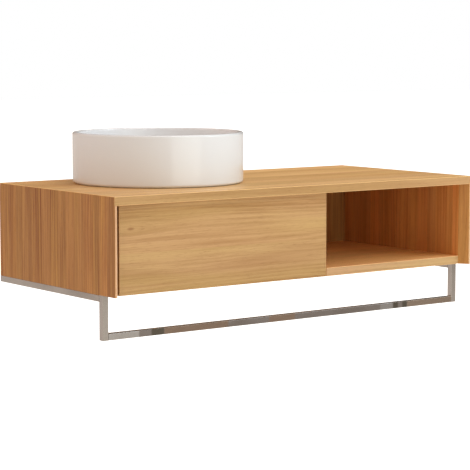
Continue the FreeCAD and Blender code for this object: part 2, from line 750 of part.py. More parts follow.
def trap_inlet_pipe():
    """Pipe with a collar, dipping into the trap's water."""
    foot = TOP_Z - 172.0
    length = COLLAR_Z - foot
    pipe = rod(Vector(BASIN_X, BASIN_Y, foot), Z_AXIS, PIPE_R, length)
    collar = rod(Vector(BASIN_X, BASIN_Y, COLLAR_Z), Z_AXIS, COLLAR_R, 2.5)
    bore = rod(Vector(BASIN_X, BASIN_Y, foot - 1), Z_AXIS, PIPE_R - PIPE_WALL, length + 5)
    return pipe.fuse(collar).cut(bore).removeSplitter()


def trap_body():
    """Upper half of the bottle, with inlet neck and side outlet."""
    centre = Vector(BASIN_X, BASIN_Y, TRAP_SPLIT)
    shell = rod(centre, Z_AXIS, TRAP_R, TRAP_TOP - TRAP_SPLIT)
    shell = shell.makeFillet(4.0, edges_on(shell, "z", TRAP_TOP))
    neck = rod(Vector(BASIN_X, BASIN_Y, TRAP_TOP - 1), Z_AXIS, 20.0, NECK_H + 1)
    outlet_from = Vector(BASIN_X, BASIN_Y, PIPE_Z)
    outlet = rod(outlet_from, Y_AXIS, 19.5, OUTLET_REACH)
    body = shell.fuse(neck).fuse(outlet)
    hollow = rod(centre - Z_AXIS, Z_AXIS, TRAP_R - TRAP_WALL, TRAP_TOP - TRAP_SPLIT + 1 - TRAP_WALL)
    inlet_hole = rod(centre, Z_AXIS, PIPE_R, 100.0)
    outlet_hole = rod(outlet_from, Y_AXIS, PIPE_R, 60.0)
    return body.cut(hollow).cut(inlet_hole).cut(outlet_hole).removeSplitter()


def trap_cup():
    """Removable lower half that screws over the body, ready to be emptied."""
    grip_r = 35.5
    half_grip = 8.0
    grip_top = TRAP_SPLIT + half_grip
    grip_foot = TRAP_SPLIT - half_grip
    grip = rod(Vector(BASIN_X, BASIN_Y, grip_foot), Z_AXIS, grip_r, grip_top - grip_foot)
    cup = rod(Vector(BASIN_X, BASIN_Y, TRAP_FLOOR), Z_AXIS, TRAP_R, grip_foot - TRAP_FLOOR)
    cup = cup.makeFillet(8.0, edges_on(cup, "z", TRAP_FLOOR))
    solid = grip.fuse(cup)
    inner = rod(Vector(BASIN_X, BASIN_Y, TRAP_FLOOR + TRAP_WALL), Z_AXIS, TRAP_R - TRAP_WALL, 100.0)
    thread = rod(Vector(BASIN_X, BASIN_Y, TRAP_SPLIT), Z_AXIS, TRAP_R, 20.0)
    return solid.cut(inner).cut(thread).removeSplitter()


def trap_neck_nut():
    """Compression nut on the inlet neck."""
    return coupling_nut(Vector(BASIN_X, BASIN_Y, TRAP_TOP + NECK_H), Z_AXIS, NUT_R, PIPE_R, 8.0)


def trap_outlet_nut():
    """Compression nut on the side outlet."""
    start = Vector(BASIN_X, BASIN_Y + OUTLET_REACH, PIPE_Z)
    return coupling_nut(start, Y_AXIS, NUT_R, PIPE_R, 10.0)


def outlet_pipe():
    """Straight pipe from the trap to the wall, with a bead that stops the wall's socket."""
    start = Vector(BASIN_X, BASIN_Y + 36.0, PIPE_Z)
    length = -start.y
    spigot = 20.0
    bead_w = 2.0
    bead = rod(Vector(BASIN_X, -spigot - bead_w, PIPE_Z), Y_AXIS, PIPE_R + 1.4, bead_w)
    pipe = rod(start, Y_AXIS, PIPE_R, length).fuse(bead).removeSplitter()
    return pipe.cut(rod(start - Y_AXIS, Y_AXIS, PIPE_R - PIPE_WALL, length + 2))


# ---------------------------------------------------------------- build
FIXED_SCREWS = runner_screws(RUNNER_METAL, into_cabinet=True)
SIDE_SCREWS = runner_screws(RUNNER_T - RUNNER_METAL, into_cabinet=False)


def cabinet_nodes():
    dowels = case_dowels()
    rear_screws = cleat_screws()
    rail_screws = frame_screws()
    panel = side_panel()
    opposite = panel.mirror(Vector(0, 0, 0), X_AXIS)
    return {
        "top_board": less(top_board(), dowels),
        "side_panel_left": less(panel, dowels, rail_screws, FIXED_SCREWS),
        "side_panel_right": less(opposite, dowels, rail_screws),
        "bottom_board": less(bottom_board(), dowels),
        "divider": less(divider(), dowels, FIXED_SCREWS),
        "back_panel": less(back_panel(), dowels, rear_screws),
        "hanging_cleat": less(hanging_cleat(), rear_screws),
        "wall_cleat": wall_cleat(),
        "spacer_batten": less(spacer_batten(), rear_screws),
        "divider_bumpers": divider_bumpers(),
        "case_dowels": dowels,
        "cleat_screws": rear_screws,
        "frame_screws": rail_screws,
        "runner_fixed_screws": FIXED_SCREWS,
    }


def frame_nodes():
    left_rail = rail()
    left_post = post()
    return {
        "rail_left": left_rail,
        "rail_right": left_rail.mirror(Vector(0, 0, 0), X_AXIS),
        "post_left": left_post,
        "post_right": left_post.mirror(Vector(0, 0, 0), X_AXIS),
        "towel_bar": towel_bar(),
        "post_caps": post_caps(),
        "rail_caps": rail_caps(),
        "rail_plugs": rail_plugs(),
    }


def drawer_nodes():
    screws = front_screws()
    left = (DRAWER_LEFT, DRAWER_LEFT + DRAWER_SIDE_T)
    right = (DRAWER_RIGHT - DRAWER_SIDE_T, DRAWER_RIGHT)
    nodes = {
        "drawer_front": less(drawer_front(), screws),
        "drawer_subfront": less(drawer_subfront(), screws),
        "drawer_side_left": less(drawer_side(left), SIDE_SCREWS),
        "drawer_side_right": less(drawer_side(right), SIDE_SCREWS),
        "drawer_bottom": drawer_bottom(),
        "drawer_front_screws": screws,
        "runner_drawer_screws": SIDE_SCREWS,
    }
    nodes.update(drawer_partition_walls())
    return nodes


def runner_nodes():
    nodes = {}
    for side in ("left", "right"):
        for name, member in runner_members().items():
            placed = place_runner(member, side)
            if name == "fixed":
                placed = placed.cut(FIXED_SCREWS)
            if name == "drawer":
                placed = placed.cut(SIDE_SCREWS)
            nodes[f"runner_{side}_{name}"] = placed
    return nodes


def basin_nodes():
    return {
        "basin": basin(),
        "basin_seal": basin_seal(),
        "flange_washer": flange_washer(),
        "waste_body": waste_body(),
        "waste_plug": waste_plug(),
        "plug_seal": plug_seal(),
        "waste_gasket": waste_gasket(),
        "waste_nut": waste_nut(),
        "trap_inlet_nut": trap_inlet_nut(),
        "trap_inlet_seal": trap_inlet_seal(),
        "trap_inlet_pipe": trap_inlet_pipe(),
        "trap_body": trap_body(),
        "trap_cup": trap_cup(),
        "trap_neck_nut": trap_neck_nut(),
        "trap_outlet_nut": trap_outlet_nut(),
        "outlet_pipe": outlet_pipe(),
    }


os.makedirs("parts", exist_ok=True)
for group in (cabinet_nodes(), frame_nodes(), drawer_nodes(), runner_nodes(), basin_nodes()):
    for node, shape in group.items():
        shape.exportStep(f"parts/{node}.step")
        print(f"{node}: {len(shape.Solids)} solid(s), {shape.Volume / 1000:.1f} cm3, valid {shape.isValid()}")
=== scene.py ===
# %% [markdown]
# # A wall-hung washstand, from its frame to its finish
# This lesson dresses a designed washstand: a hardwood cabinet with one drawer and one open niche,
# a polished square-tube frame with a towel bar under it, and a white round basin on top.
# The design file fixes where everything is and how it moves.  Here every part gets its finish,
# and the parts whose surface a machinist's model leaves plain are made again with more detail.
# The first cell loads that frame and gives a way to measure its overall box, which the floor uses.

# %% Load the frame
import json
import math
import bmesh
import bpy
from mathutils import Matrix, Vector

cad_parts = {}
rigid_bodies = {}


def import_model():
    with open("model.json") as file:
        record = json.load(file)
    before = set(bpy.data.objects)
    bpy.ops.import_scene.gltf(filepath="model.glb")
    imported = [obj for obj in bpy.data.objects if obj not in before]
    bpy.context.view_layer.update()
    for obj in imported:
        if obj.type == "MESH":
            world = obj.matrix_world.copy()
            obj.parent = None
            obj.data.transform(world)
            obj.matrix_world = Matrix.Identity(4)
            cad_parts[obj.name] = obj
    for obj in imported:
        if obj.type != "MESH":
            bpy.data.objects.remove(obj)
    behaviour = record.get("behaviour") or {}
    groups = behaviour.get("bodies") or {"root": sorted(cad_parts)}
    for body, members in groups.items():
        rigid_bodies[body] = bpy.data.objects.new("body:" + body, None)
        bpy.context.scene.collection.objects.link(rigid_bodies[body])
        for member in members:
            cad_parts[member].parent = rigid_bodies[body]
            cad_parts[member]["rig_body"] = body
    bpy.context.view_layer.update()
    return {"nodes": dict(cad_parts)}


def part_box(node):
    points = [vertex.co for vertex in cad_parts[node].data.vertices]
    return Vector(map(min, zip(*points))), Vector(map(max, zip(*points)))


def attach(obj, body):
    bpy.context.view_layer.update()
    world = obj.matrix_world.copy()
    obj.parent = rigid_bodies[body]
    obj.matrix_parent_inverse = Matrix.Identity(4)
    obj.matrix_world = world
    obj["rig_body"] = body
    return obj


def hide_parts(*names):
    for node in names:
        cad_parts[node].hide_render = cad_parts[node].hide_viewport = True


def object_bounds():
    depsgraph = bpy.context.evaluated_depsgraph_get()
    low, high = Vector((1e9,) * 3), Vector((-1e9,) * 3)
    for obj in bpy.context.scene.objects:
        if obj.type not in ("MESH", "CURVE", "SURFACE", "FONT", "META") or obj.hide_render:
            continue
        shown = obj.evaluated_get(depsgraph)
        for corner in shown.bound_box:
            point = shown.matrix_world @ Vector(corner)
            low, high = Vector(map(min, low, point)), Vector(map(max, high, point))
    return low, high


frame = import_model()
nodes = frame["nodes"]
MM = 0.001

# %% [markdown]
# ## Camera
# A product picture is taken with a long lens from well back, so that upright edges stay upright.
# The camera looks at the middle of the washstand from the front left, a little above it.
# It could be placed by hand, but an azimuth, an elevation and a distance are easier to reason
# about, and they can be printed and changed one at a time.

# %% Place the camera
AZIMUTH = math.radians(36.506)
ELEVATION = math.radians(5.966)
DISTANCE = 4.5348
TARGET = Vector((-0.0143, -0.2442, -0.0554))
LENS = 143.27
SENSOR = 36.0
FARTHEST = 60.0

towards = Vector((
    math.sin(AZIMUTH) * math.cos(ELEVATION),
    math.cos(AZIMUTH) * math.cos(ELEVATION),
    -math.sin(ELEVATION),
))
camera_data = bpy.data.cameras.new("camera")
camera_data.lens = LENS
camera_data.sensor_width = SENSOR
camera_data.clip_end = FARTHEST
camera = bpy.data.objects.new("camera", camera_data)
camera.location = TARGET - towards * DISTANCE
camera.rotation_euler = towards.to_track_quat("-Z", "Y").to_euler()
bpy.context.scene.collection.objects.link(camera)
bpy.context.scene.camera = camera
print("camera at", tuple(round(value, 3) for value in camera.location))

# %% [markdown]
# ## Small helpers for shader trees
# A material is a tree of nodes.  A few helpers keep the rest short: the first ones add a node,
# do sums, mix colours and read noise, and the others make a shader node group or a material.
# A group is the right home for an effect that several finishes share, such as grain, because a
# change in it reaches all of them.

# %% Helpers for single nodes
def feed(tree, node, values):
    """Sets a node's inputs to plain values, or links other nodes' outputs into them."""
    for socket, value in values.items():
        if isinstance(value, bpy.types.NodeSocket):
            tree.links.new(value, node.inputs[socket])
        else:
            node.inputs[socket].default_value = value


def add(tree, kind, values=None, **settings):
    """Adds a node with its settings and the values of its inputs."""
    node = tree.nodes.new(kind)
    for name, value in settings.items():
        setattr(node, name, value)
    feed(tree, node, values or {})
    return node


def maths(tree, operation, first, second=0.0, third=0.0):
    """A Math node's result."""
    values = {0: first, 1: second, 2: third}
    return add(tree, "ShaderNodeMath", values, operation=operation).outputs[0]


def sway(tree, value, amount, middle=0.0):
    """The middle, moved by amount times how far a 0..1 value lies from a half."""
    return maths(tree, "MULTIPLY_ADD", maths(tree, "SUBTRACT", value, 0.5), amount, middle)


def blend_colour(tree, amount, first, second, mode="MIX"):
    """Mixes two colours."""
    values = {0: amount, 6: first, 7: second}
    return add(tree, "ShaderNodeMix", values, data_type="RGBA", blend_type=mode).outputs[2]


def ramp(tree, value, low, high):
    """Value mapped smoothly from low..high to 0..1."""
    values = {"Value": value, "From Min": low, "From Max": high}
    return add(tree, "ShaderNodeMapRange", values, interpolation_type="SMOOTHSTEP").outputs[0]


def noise(tree, vector, scale, detail=2.0, roughness=0.5):
    """Noise factor in 0..1."""
    values = {"Vector": vector, "Scale": scale, "Detail": detail, "Roughness": roughness}
    return add(tree, "ShaderNodeTexNoise", values).outputs["Fac"]


def stretch(tree, vector, scales):
    """Vector multiplied axis by axis."""
    values = {0: vector, 1: scales}
    return add(tree, "ShaderNodeVectorMath", values, operation="MULTIPLY").outputs[0]


def drawn_out(tree, vector, along, across, detail, roughness=0.5):
    """Noise with one scale along X and another across it."""
    return noise(tree, stretch(tree, vector, (along, across, across)), 1.0, detail, roughness)


print("node helpers ready")

# %% Helpers for groups and materials
def new_group(name, inputs, outputs):
    """A shader node group with named sockets; inputs are (name, socket type, default)."""
    group = bpy.data.node_groups.new(name, "ShaderNodeTree")
    for label, kind, default in inputs:
        socket = group.interface.new_socket(label, in_out="INPUT", socket_type=kind)
        if default is not None:
            socket.default_value = default
    for label, kind in outputs:
        group.interface.new_socket(label, in_out="OUTPUT", socket_type=kind)
    source = group.nodes.new("NodeGroupInput")
    target = group.nodes.new("NodeGroupOutput")
    return group, source.outputs, target.inputs


def use_group(tree, group, values):
    """Places a group in a tree."""
    return add(tree, "ShaderNodeGroup", values, node_tree=group).outputs


def new_material(name, **settings):
    """A material with one Principled shader and its object coordinates."""
    material = bpy.data.materials.new(name)
    material.use_nodes = True
    tree = material.node_tree
    shader = tree.nodes["Principled BSDF"]
    for socket, value in settings.items():
        shader.inputs[socket.replace("_", " ")].default_value = value
    place = tree.nodes.new("ShaderNodeTexCoord").outputs["Object"]
    return material, tree, shader, place


def bump(tree, shader, height, depth):
    """Feeds a height in 0..1 into the shader's normal; depth is in metres."""
    values = {"Height": height, "Distance": depth, "Strength": 1.0}
    tree.links.new(add(tree, "ShaderNodeBump", values).outputs[0], shader.inputs["Normal"])


def coat(tree, shader, colour, surface, relief):
    """Gives the shader a colour and a surface group's roughness and height."""
    feed(tree, shader, {"Base Color": colour, "Roughness": surface["Roughness"]})
    bump(tree, shader, surface["Height"], relief)


COLOUR = "NodeSocketColor"
FLOAT = "NodeSocketFloat"
VECTOR = "NodeSocketVector"
print("group and material helpers ready")

# %% [markdown]
# ## Hardwood
# The cabinet is oiled solid hardwood.  Its boards are glued up from staves, so tone and figure
# change every few centimetres across the board, while streaks run unbroken along it.
# A flat picture of wood would stretch round the edges.  A solid pattern does not: it is a
# function of the point in space, so the end of a board shows end grain by itself.
# The group takes a vector whose X runs along the grain, Y across the face and Z into the board.
# Its scales are counts per metre, small along the grain and large across it, so every pattern is
# drawn out into long straight streaks.

# %% Hardwood grain group
def grain_group():
    group, given, result = new_group(
        "hardwood grain",
        [
            ("Vector", VECTOR, None),
            ("Light", COLOUR, (0.6, 0.36, 0.17, 1)),
            ("Dark", COLOUR, (0.4, 0.2, 0.08, 1)),
            ("Stave width", FLOAT, 0.08),
            ("Stave spread", FLOAT, 0.25),
            ("Streaks", FLOAT, 0.6),
            ("Seed", FLOAT, 1.0),
        ],
        [("Color", COLOUR), ("Roughness", FLOAT), ("Height", FLOAT)],
    )
    split = add(group, "ShaderNodeSeparateXYZ", {0: given["Vector"]}).outputs
    # each stave is a slice of another tree, so it gets its own random shift
    across = maths(group, "DIVIDE", split["Y"], given["Stave width"])
    uneven = noise(group, stretch(group, given["Vector"], (0.0, 16.0, 0.0)), 1.0, 1.0)
    across = maths(group, "MULTIPLY_ADD", uneven, 1.8, across)
    stave = maths(group, "FLOOR", maths(group, "ADD", across, given["Seed"]))
    key = maths(group, "MULTIPLY_ADD", given["Seed"], 17.3, stave)
    rolled = add(group, "ShaderNodeTexWhiteNoise", {"W": key}, noise_dimensions="1D").outputs
    shift = stretch(group, rolled["Color"], (5.0, 3.0, 3.0))
    shifted = add(group, "ShaderNodeVectorMath", {0: given["Vector"], 1: shift}, operation="ADD")
    here = shifted.outputs[0]
    # the grain wanders slowly, so every pattern below is read at a gently shifted height
    lift = sway(group, drawn_out(group, here, 1.3, 9.0, 2.0), 0.03)
    lifted = add(group, "ShaderNodeCombineXYZ", {"Y": lift, "Z": lift}).outputs[0]
    here = add(group, "ShaderNodeVectorMath", {0: here, 1: lifted}, operation="ADD").outputs[0]
    inside = add(group, "ShaderNodeSeparateXYZ", {0: here}).outputs
    # broad clouds of colour, growth rings cut almost along the trunk, streaks and fine threads
    clouds = drawn_out(group, here, 2.2, 20.0, 2.0)
    jitter = drawn_out(group, here, 4.0, 60.0, 3.0, 0.6)
    ring_place = maths(group, "MULTIPLY_ADD", jitter, 9.0, maths(group, "MULTIPLY", inside["Z"], 160.0))
    ring_place = maths(group, "MULTIPLY_ADD", inside["Y"], 620.0, ring_place)
    wave = maths(group, "MULTIPLY_ADD", maths(group, "SINE", ring_place), 0.5, 0.5)
    rings = maths(group, "POWER", wave, 2.0)
    bands = drawn_out(group, here, 2.1, 130.0, 3.0, 0.6)
    threads = drawn_out(group, here, 5.5, 620.0, 3.0, 0.65)
    pore_mask = ramp(group, drawn_out(group, here, 42.0, 1500.0, 1.0), 0.60, 0.74)
    faint = ramp(group, drawn_out(group, here, 2.6, 12.0, 1.0), 0.35, 0.65)
    streak = maths(group, "MULTIPLY", maths(group, "MULTIPLY", rings, 0.30), faint)
    streak = maths(group, "MULTIPLY_ADD", ramp(group, bands, 0.38, 0.70), 0.34, streak)
    streak = maths(group, "MULTIPLY_ADD", ramp(group, clouds, 0.30, 0.70), 0.36, streak)
    streak = sway(group, threads, 0.75, streak)
    streak = maths(group, "MULTIPLY", streak, given["Streaks"])
    wood = blend_colour(group, streak, given["Light"], given["Dark"])
    hue = ramp(group, drawn_out(group, here, 1.7, 26.0, 2.0), 0.3, 0.7)
    hue_tint = blend_colour(group, hue, (1.02, 0.99, 1.02, 1), (0.99, 1.01, 0.91, 1))
    wood = blend_colour(group, 1.0, wood, hue_tint, "MULTIPLY")
    # tone of the whole stave, and a faint drift of hue between staves
    tone = sway(group, rolled["Value"], given["Stave spread"], 1.0)
    rolls = add(group, "ShaderNodeSeparateColor", {0: rolled["Color"]}).outputs
    drift = sway(group, rolls[1], given["Stave spread"])
    redder = maths(group, "MULTIPLY_ADD", drift, 0.22, tone)
    bluer = maths(group, "MULTIPLY_ADD", drift, -0.4, tone)
    tone_colour = add(group, "ShaderNodeCombineColor", {0: redder, 1: tone, 2: bluer}).outputs[0]
    wood = blend_colour(group, 1.0, wood, tone_colour, "MULTIPLY")
    dark_pore = blend_colour(group, 1.0, wood, (0.62, 0.5, 0.42, 1), "MULTIPLY")
    wood = blend_colour(group, maths(group, "MULTIPLY", pore_mask, 0.6), wood, dark_pore)
    group.links.new(wood, result["Color"])
    rough = maths(group, "MULTIPLY_ADD", threads, 0.16, 0.36)
    group.links.new(maths(group, "MULTIPLY_ADD", pore_mask, 0.15, rough), result["Roughness"])
    height = maths(group, "MULTIPLY", maths(group, "SUBTRACT", 1.0, pore_mask), 0.6)
    group.links.new(maths(group, "MULTIPLY_ADD", threads, 0.4, height), result["Height"])
    return group


GRAIN = grain_group()
print("grain group:", len(GRAIN.nodes), "nodes")

# %% [markdown]
# ## Knots
# A knot is where a branch left the trunk: the grain flows round a dark eye.  It can be had
# without any picture by pushing the pattern's cross coordinate away from one point before the
# grain is read.  The eye itself is a second output that darkens the colour.

# %% Knot group
def knot_group():
    group, given, result = new_group(
        "knot",
        [("Vector", VECTOR, None), ("Place", VECTOR, (0, 0, 0)), ("Size", FLOAT, 0.012)],
        [("Vector", VECTOR), ("Eye", FLOAT)],
    )
    offset = add(
        group, "ShaderNodeVectorMath", {0: given["Vector"], 1: given["Place"]}, operation="SUBTRACT"
    ).outputs[0]
    squeezed = stretch(group, offset, (0.38, 1.0, 0.0))
    far = add(group, "ShaderNodeVectorMath", {0: squeezed}, operation="LENGTH").outputs["Value"]
    reach = maths(group, "DIVIDE", far, given["Size"])
    fade = maths(group, "EXPONENT", maths(group, "MULTIPLY", maths(group, "POWER", reach, 2.0), -0.22))
    side = add(group, "ShaderNodeSeparateXYZ", {0: offset}).outputs["Y"]
    leaning = maths(group, "DIVIDE", side, maths(group, "ADD", maths(group, "ABSOLUTE", side), 0.004))
    push = maths(group, "MULTIPLY", maths(group, "MULTIPLY", leaning, fade), given["Size"])
    moved = add(group, "ShaderNodeCombineXYZ", {"Y": maths(group, "MULTIPLY", push, -1.0)}).outputs[0]
    warped = add(group, "ShaderNodeVectorMath", {0: given["Vector"], 1: moved}, operation="ADD")
    group.links.new(warped.outputs[0], result["Vector"])
    eye = maths(group, "SUBTRACT", 1.0, ramp(group, reach, 0.12, 0.5))
    group.links.new(eye, result["Eye"])
    return group


KNOT = knot_group()
print("knot group:", len(KNOT.nodes), "nodes")

# %% [markdown]
# ## A board's material
# Each board gets its own material, because its grain runs its own way and its tone differs a
# little.  A Mapping node turns the object's coordinates so that X follows the grain.
# Boards made below carry an "edge" attribute on their eased corners, which the material paints
# lighter: a painted highlight along the edges.

# %% Hardwood maker
ALONG_X = (0.0, 0.0, 0.0)
UPRIGHT_FRONT = (math.radians(90), 0.0, math.radians(90))   # grain up, face to the front
UPRIGHT_SIDE = (0.0, math.radians(90), 0.0)                 # grain up, face to the side
FACE_FRONT = (math.radians(90), 0.0, 0.0)                   # grain level, face to the front
LEVEL_SIDE = (0.0, math.radians(90), math.radians(-90))     # grain level, face to the side
GRAIN_RELIEF = 0.12 * MM
EYE_STRENGTH = 0.55
EYE_DARKER = (0.75, 0.5, 0.5)
# painted highlight along the eased edges: how strongly, and how much paler
EDGE_HIGHLIGHT_STRENGTH = 0.55
EDGE_HIGHLIGHT_PALER = (1.25, 1.28, 1.35)


def hardwood(name, turn, light, dark, seed, stave=0.08, spread=0.22, streaks=0.8, knots=()):
    """Oiled hardwood; knots are (place in the turned frame, size) pairs."""
    material, tree, shader, place = new_material(
        name, Specular_IOR_Level=0.28, Coat_Weight=0.03, Coat_Roughness=0.3
    )
    turned = add(tree, "ShaderNodeMapping", {"Vector": place, "Rotation": turn}).outputs[0]
    eyes = []
    for knot_place, size in knots:
        knot = use_group(tree, KNOT, {"Vector": turned, "Place": knot_place, "Size": size})
        turned = knot["Vector"]
        eyes.append(knot["Eye"])
    values = {
        "Vector": turned, "Light": (*light, 1), "Dark": (*dark, 1), "Seed": seed,
        "Stave width": stave, "Stave spread": spread, "Streaks": streaks,
    }
    grain = use_group(tree, GRAIN, values)
    colour = grain["Color"]
    deep = (*(tone * less for tone, less in zip(dark, EYE_DARKER)), 1)
    for eye in eyes:
        colour = blend_colour(tree, maths(tree, "MULTIPLY", eye, EYE_STRENGTH), colour, deep)
    # painted highlight: faces marked "edge" are blended towards a paler copy of the light tone
    edge_highlight = add(tree, "ShaderNodeAttribute", attribute_name="edge").outputs["Fac"]
    pale = (*(min(1, tone * more) for tone, more in zip(light, EDGE_HIGHLIGHT_PALER)), 1)
    colour = blend_colour(tree, maths(tree, "MULTIPLY", edge_highlight, EDGE_HIGHLIGHT_STRENGTH), colour, pale)
    coat(tree, shader, colour, grain, GRAIN_RELIEF)
    return material


print("hardwood maker ready")

# %% [markdown]
# ## The cabinet's boards
# Boards from different planks differ in tone, so the worktop, the front, the sides and the
# niche each get their own pair, and part of that difference is painted light and shade.  The
# first tone is the wood between the streaks and the second is the streaks themselves.  Some
# boards also show another tone on one face, such as a front edge, which is the narrow side of a
# single stave.  The worktop's tones are partly painted light and the shelf's are painted light.
# Of the single faces, the niche's inner side and the shelf's front edge carry painted light, the
# worktop's front edge partly painted shade, and the front edges partly a painted highlight.

# %% Tones of the boards
FRONT_LIGHT = (0.585, 0.364, 0.158)
FRONT_DARK = (0.325, 0.153, 0.043)
# worktop's front edge: darker than the drawer front, partly its own tone and partly painted shade
BAND_LIGHT = (0.54, 0.32, 0.138)
BAND_DARK = (0.34, 0.165, 0.052)
# worktop: lighter than the front, partly its own tone and partly painted light on its top
TOP_LIGHT = (0.82, 0.518, 0.214)
TOP_DARK = (0.53, 0.246, 0.061)
# shelf: far lighter than its wood, painted light on the niche's floor
SHELF_LIGHT = (0.935, 0.532, 0.220)
SHELF_DARK = (0.59, 0.243, 0.066)
SIDE_LIGHT = (0.534, 0.262, 0.074)
SIDE_DARK = (0.208, 0.057, 0.009)
# painted light: a lighter copy of the sides' wood for the niche's inner side
NICHE_LIGHT = (0.77, 0.342, 0.106)
NICHE_DARK = (0.46, 0.155, 0.032)
# front edges: partly the stave's own tone, partly a painted highlight
EDGE_LIGHT = (0.79, 0.49, 0.285)
EDGE_DARK = (0.455, 0.25, 0.11)
# painted light on the shelf's front edge
SHELF_BAND_LIGHT = (0.635, 0.411, 0.205)
SHELF_BAND_DARK = (0.35, 0.165, 0.050)
# the shelf's underside: close to the front's tone, without the painted light of the shelf's top
UNDERSIDE_LIGHT = (0.56, 0.33, 0.14)
UNDERSIDE_DARK = (0.36, 0.165, 0.05)
print("front tones:", FRONT_LIGHT, FRONT_DARK)

# %% Boards and their finish
KNOT_FROM_SIDE = 30.0 * MM
KNOT_FROM_TOP = 53.0 * MM
KNOT_SIZE = 10.0 * MM
SIDE_STAVES = {"stave": 36.0 * MM, "spread": 0.24, "streaks": 1.0}
ONE_STAVE = {"stave": 300.0 * MM, "spread": 0.05}       # wider than the face it is used on
left_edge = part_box("drawer_front")[0].x
front_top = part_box("drawer_front")[1].z
knot_place = (left_edge + KNOT_FROM_SIDE, -front_top + KNOT_FROM_TOP, 0.0)
WOOD = {
    "top_board": hardwood(
        "wood_worktop", ALONG_X, TOP_LIGHT, TOP_DARK, seed=2.2, stave=0.07, spread=0.3,
        streaks=0.95),
    "side_panel_left": hardwood(
        "wood_side_left", UPRIGHT_SIDE, SIDE_LIGHT, SIDE_DARK, seed=5.4, **SIDE_STAVES),
    "side_panel_right": hardwood(
        "wood_side_right", UPRIGHT_SIDE, SIDE_LIGHT, SIDE_DARK, seed=8.1, **SIDE_STAVES),
    "bottom_board": hardwood(
        "wood_shelf", ALONG_X, SHELF_LIGHT, SHELF_DARK, seed=3.7, stave=0.09),
    "divider": hardwood("wood_divider", UPRIGHT_SIDE, SIDE_LIGHT, SIDE_DARK, seed=1.3, stave=0.07),
    "back_panel": hardwood(
        "wood_back", UPRIGHT_FRONT, SIDE_LIGHT, SIDE_DARK, seed=6.6, stave=0.04, spread=0.24,
        streaks=1.0),
    "drawer_front": hardwood(
        "wood_drawer_front", FACE_FRONT, FRONT_LIGHT, FRONT_DARK, seed=4.5, stave=0.09,
        spread=0.12, streaks=0.85, knots=[(knot_place, KNOT_SIZE)]),
}
print(len(WOOD), "boards of hardwood")

# %% Finishes for single faces, partly painted light and shade
# painted light: the niche's inner side is lighter than the sides' wood
niche_side = hardwood(
    "wood_niche_side", UPRIGHT_SIDE, NICHE_LIGHT, NICHE_DARK, seed=8.1, **SIDE_STAVES)
# front edges: partly the stave's own tone, partly a painted highlight
edge_band = hardwood(
    "wood_edge_band", UPRIGHT_FRONT, EDGE_LIGHT, EDGE_DARK, seed=9.3, **ONE_STAVE)
underside = hardwood(
    "wood_underside", ALONG_X, UNDERSIDE_LIGHT, UNDERSIDE_DARK, seed=3.7, stave=0.09)
# painted light on the shelf's front edge
shelf_band = hardwood(
    "wood_shelf_band", FACE_FRONT, SHELF_BAND_LIGHT, SHELF_BAND_DARK, seed=6.9, **ONE_STAVE)
# worktop's front edge: partly its own tone, partly painted shade
level_band = hardwood(
    "wood_front_band", FACE_FRONT, BAND_LIGHT, BAND_DARK, seed=7.9, **ONE_STAVE)
print("faces with a tone of their own:", niche_side.name, underside.name, edge_band.name)

# %% [markdown]
# ## Drawer box, plywood and pegs
# The drawer box is paler wood with a finer figure, so the same grain group serves with other
# colours.  Plywood is different: thin sheets lie crosswise, and the edge shows them as stripes.
# The stripes need the distance through the sheet, which is again a plain coordinate.

# %% Pale wood and plywood makers
PALE_LIGHT = (0.70, 0.50, 0.30)
PALE_DARK = (0.50, 0.31, 0.16)
PLY_LIGHT = (0.72, 0.53, 0.34, 1)
PLY_DARK = (0.56, 0.37, 0.21, 1)
CROSS_PLY = (0.34, 0.19, 0.10, 1)
PLY_RELIEF = 0.06 * MM


def pale_wood(name, turn, seed):
    return hardwood(name, turn, PALE_LIGHT, PALE_DARK, seed, stave=0.11, spread=0.08, streaks=0.55)


def plywood(name, turn, ply):
    """Sheet of thin plies of a given thickness; the turned Z runs through the sheet."""
    material, tree, shader, place = new_material(name, Specular_IOR_Level=0.4)
    turned = add(tree, "ShaderNodeMapping", {"Vector": place, "Rotation": turn}).outputs[0]
    values = {
        "Vector": turned, "Light": PLY_LIGHT, "Dark": PLY_DARK,
        "Seed": 7.7, "Stave width": 0.6, "Stave spread": 0.05, "Streaks": 0.5,
    }
    grain = use_group(tree, GRAIN, values)
    through = add(tree, "ShaderNodeSeparateXYZ", {0: turned}).outputs["Z"]
    depth = maths(tree, "FRACT", maths(tree, "MULTIPLY", through, 1 / ply))
    cross = ramp(tree, maths(tree, "PINGPONG", depth, 0.5), 0.2, 0.3)
    normal = add(tree, "ShaderNodeNewGeometry").outputs["Normal"]
    straight = add(tree, "ShaderNodeMapping", {"Vector": normal, "Rotation": turn}).outputs[0]
    facing = maths(tree, "ABSOLUTE", add(tree, "ShaderNodeSeparateXYZ", {0: straight}).outputs["Z"])
    on_edge = maths(tree, "LESS_THAN", facing, 0.5)
    colour = blend_colour(
        tree, maths(tree, "MULTIPLY", maths(tree, "MULTIPLY", cross, on_edge), 0.55),
        grain["Color"], CROSS_PLY)
    coat(tree, shader, colour, grain, PLY_RELIEF)
    return material


print("pale wood and plywood makers ready")

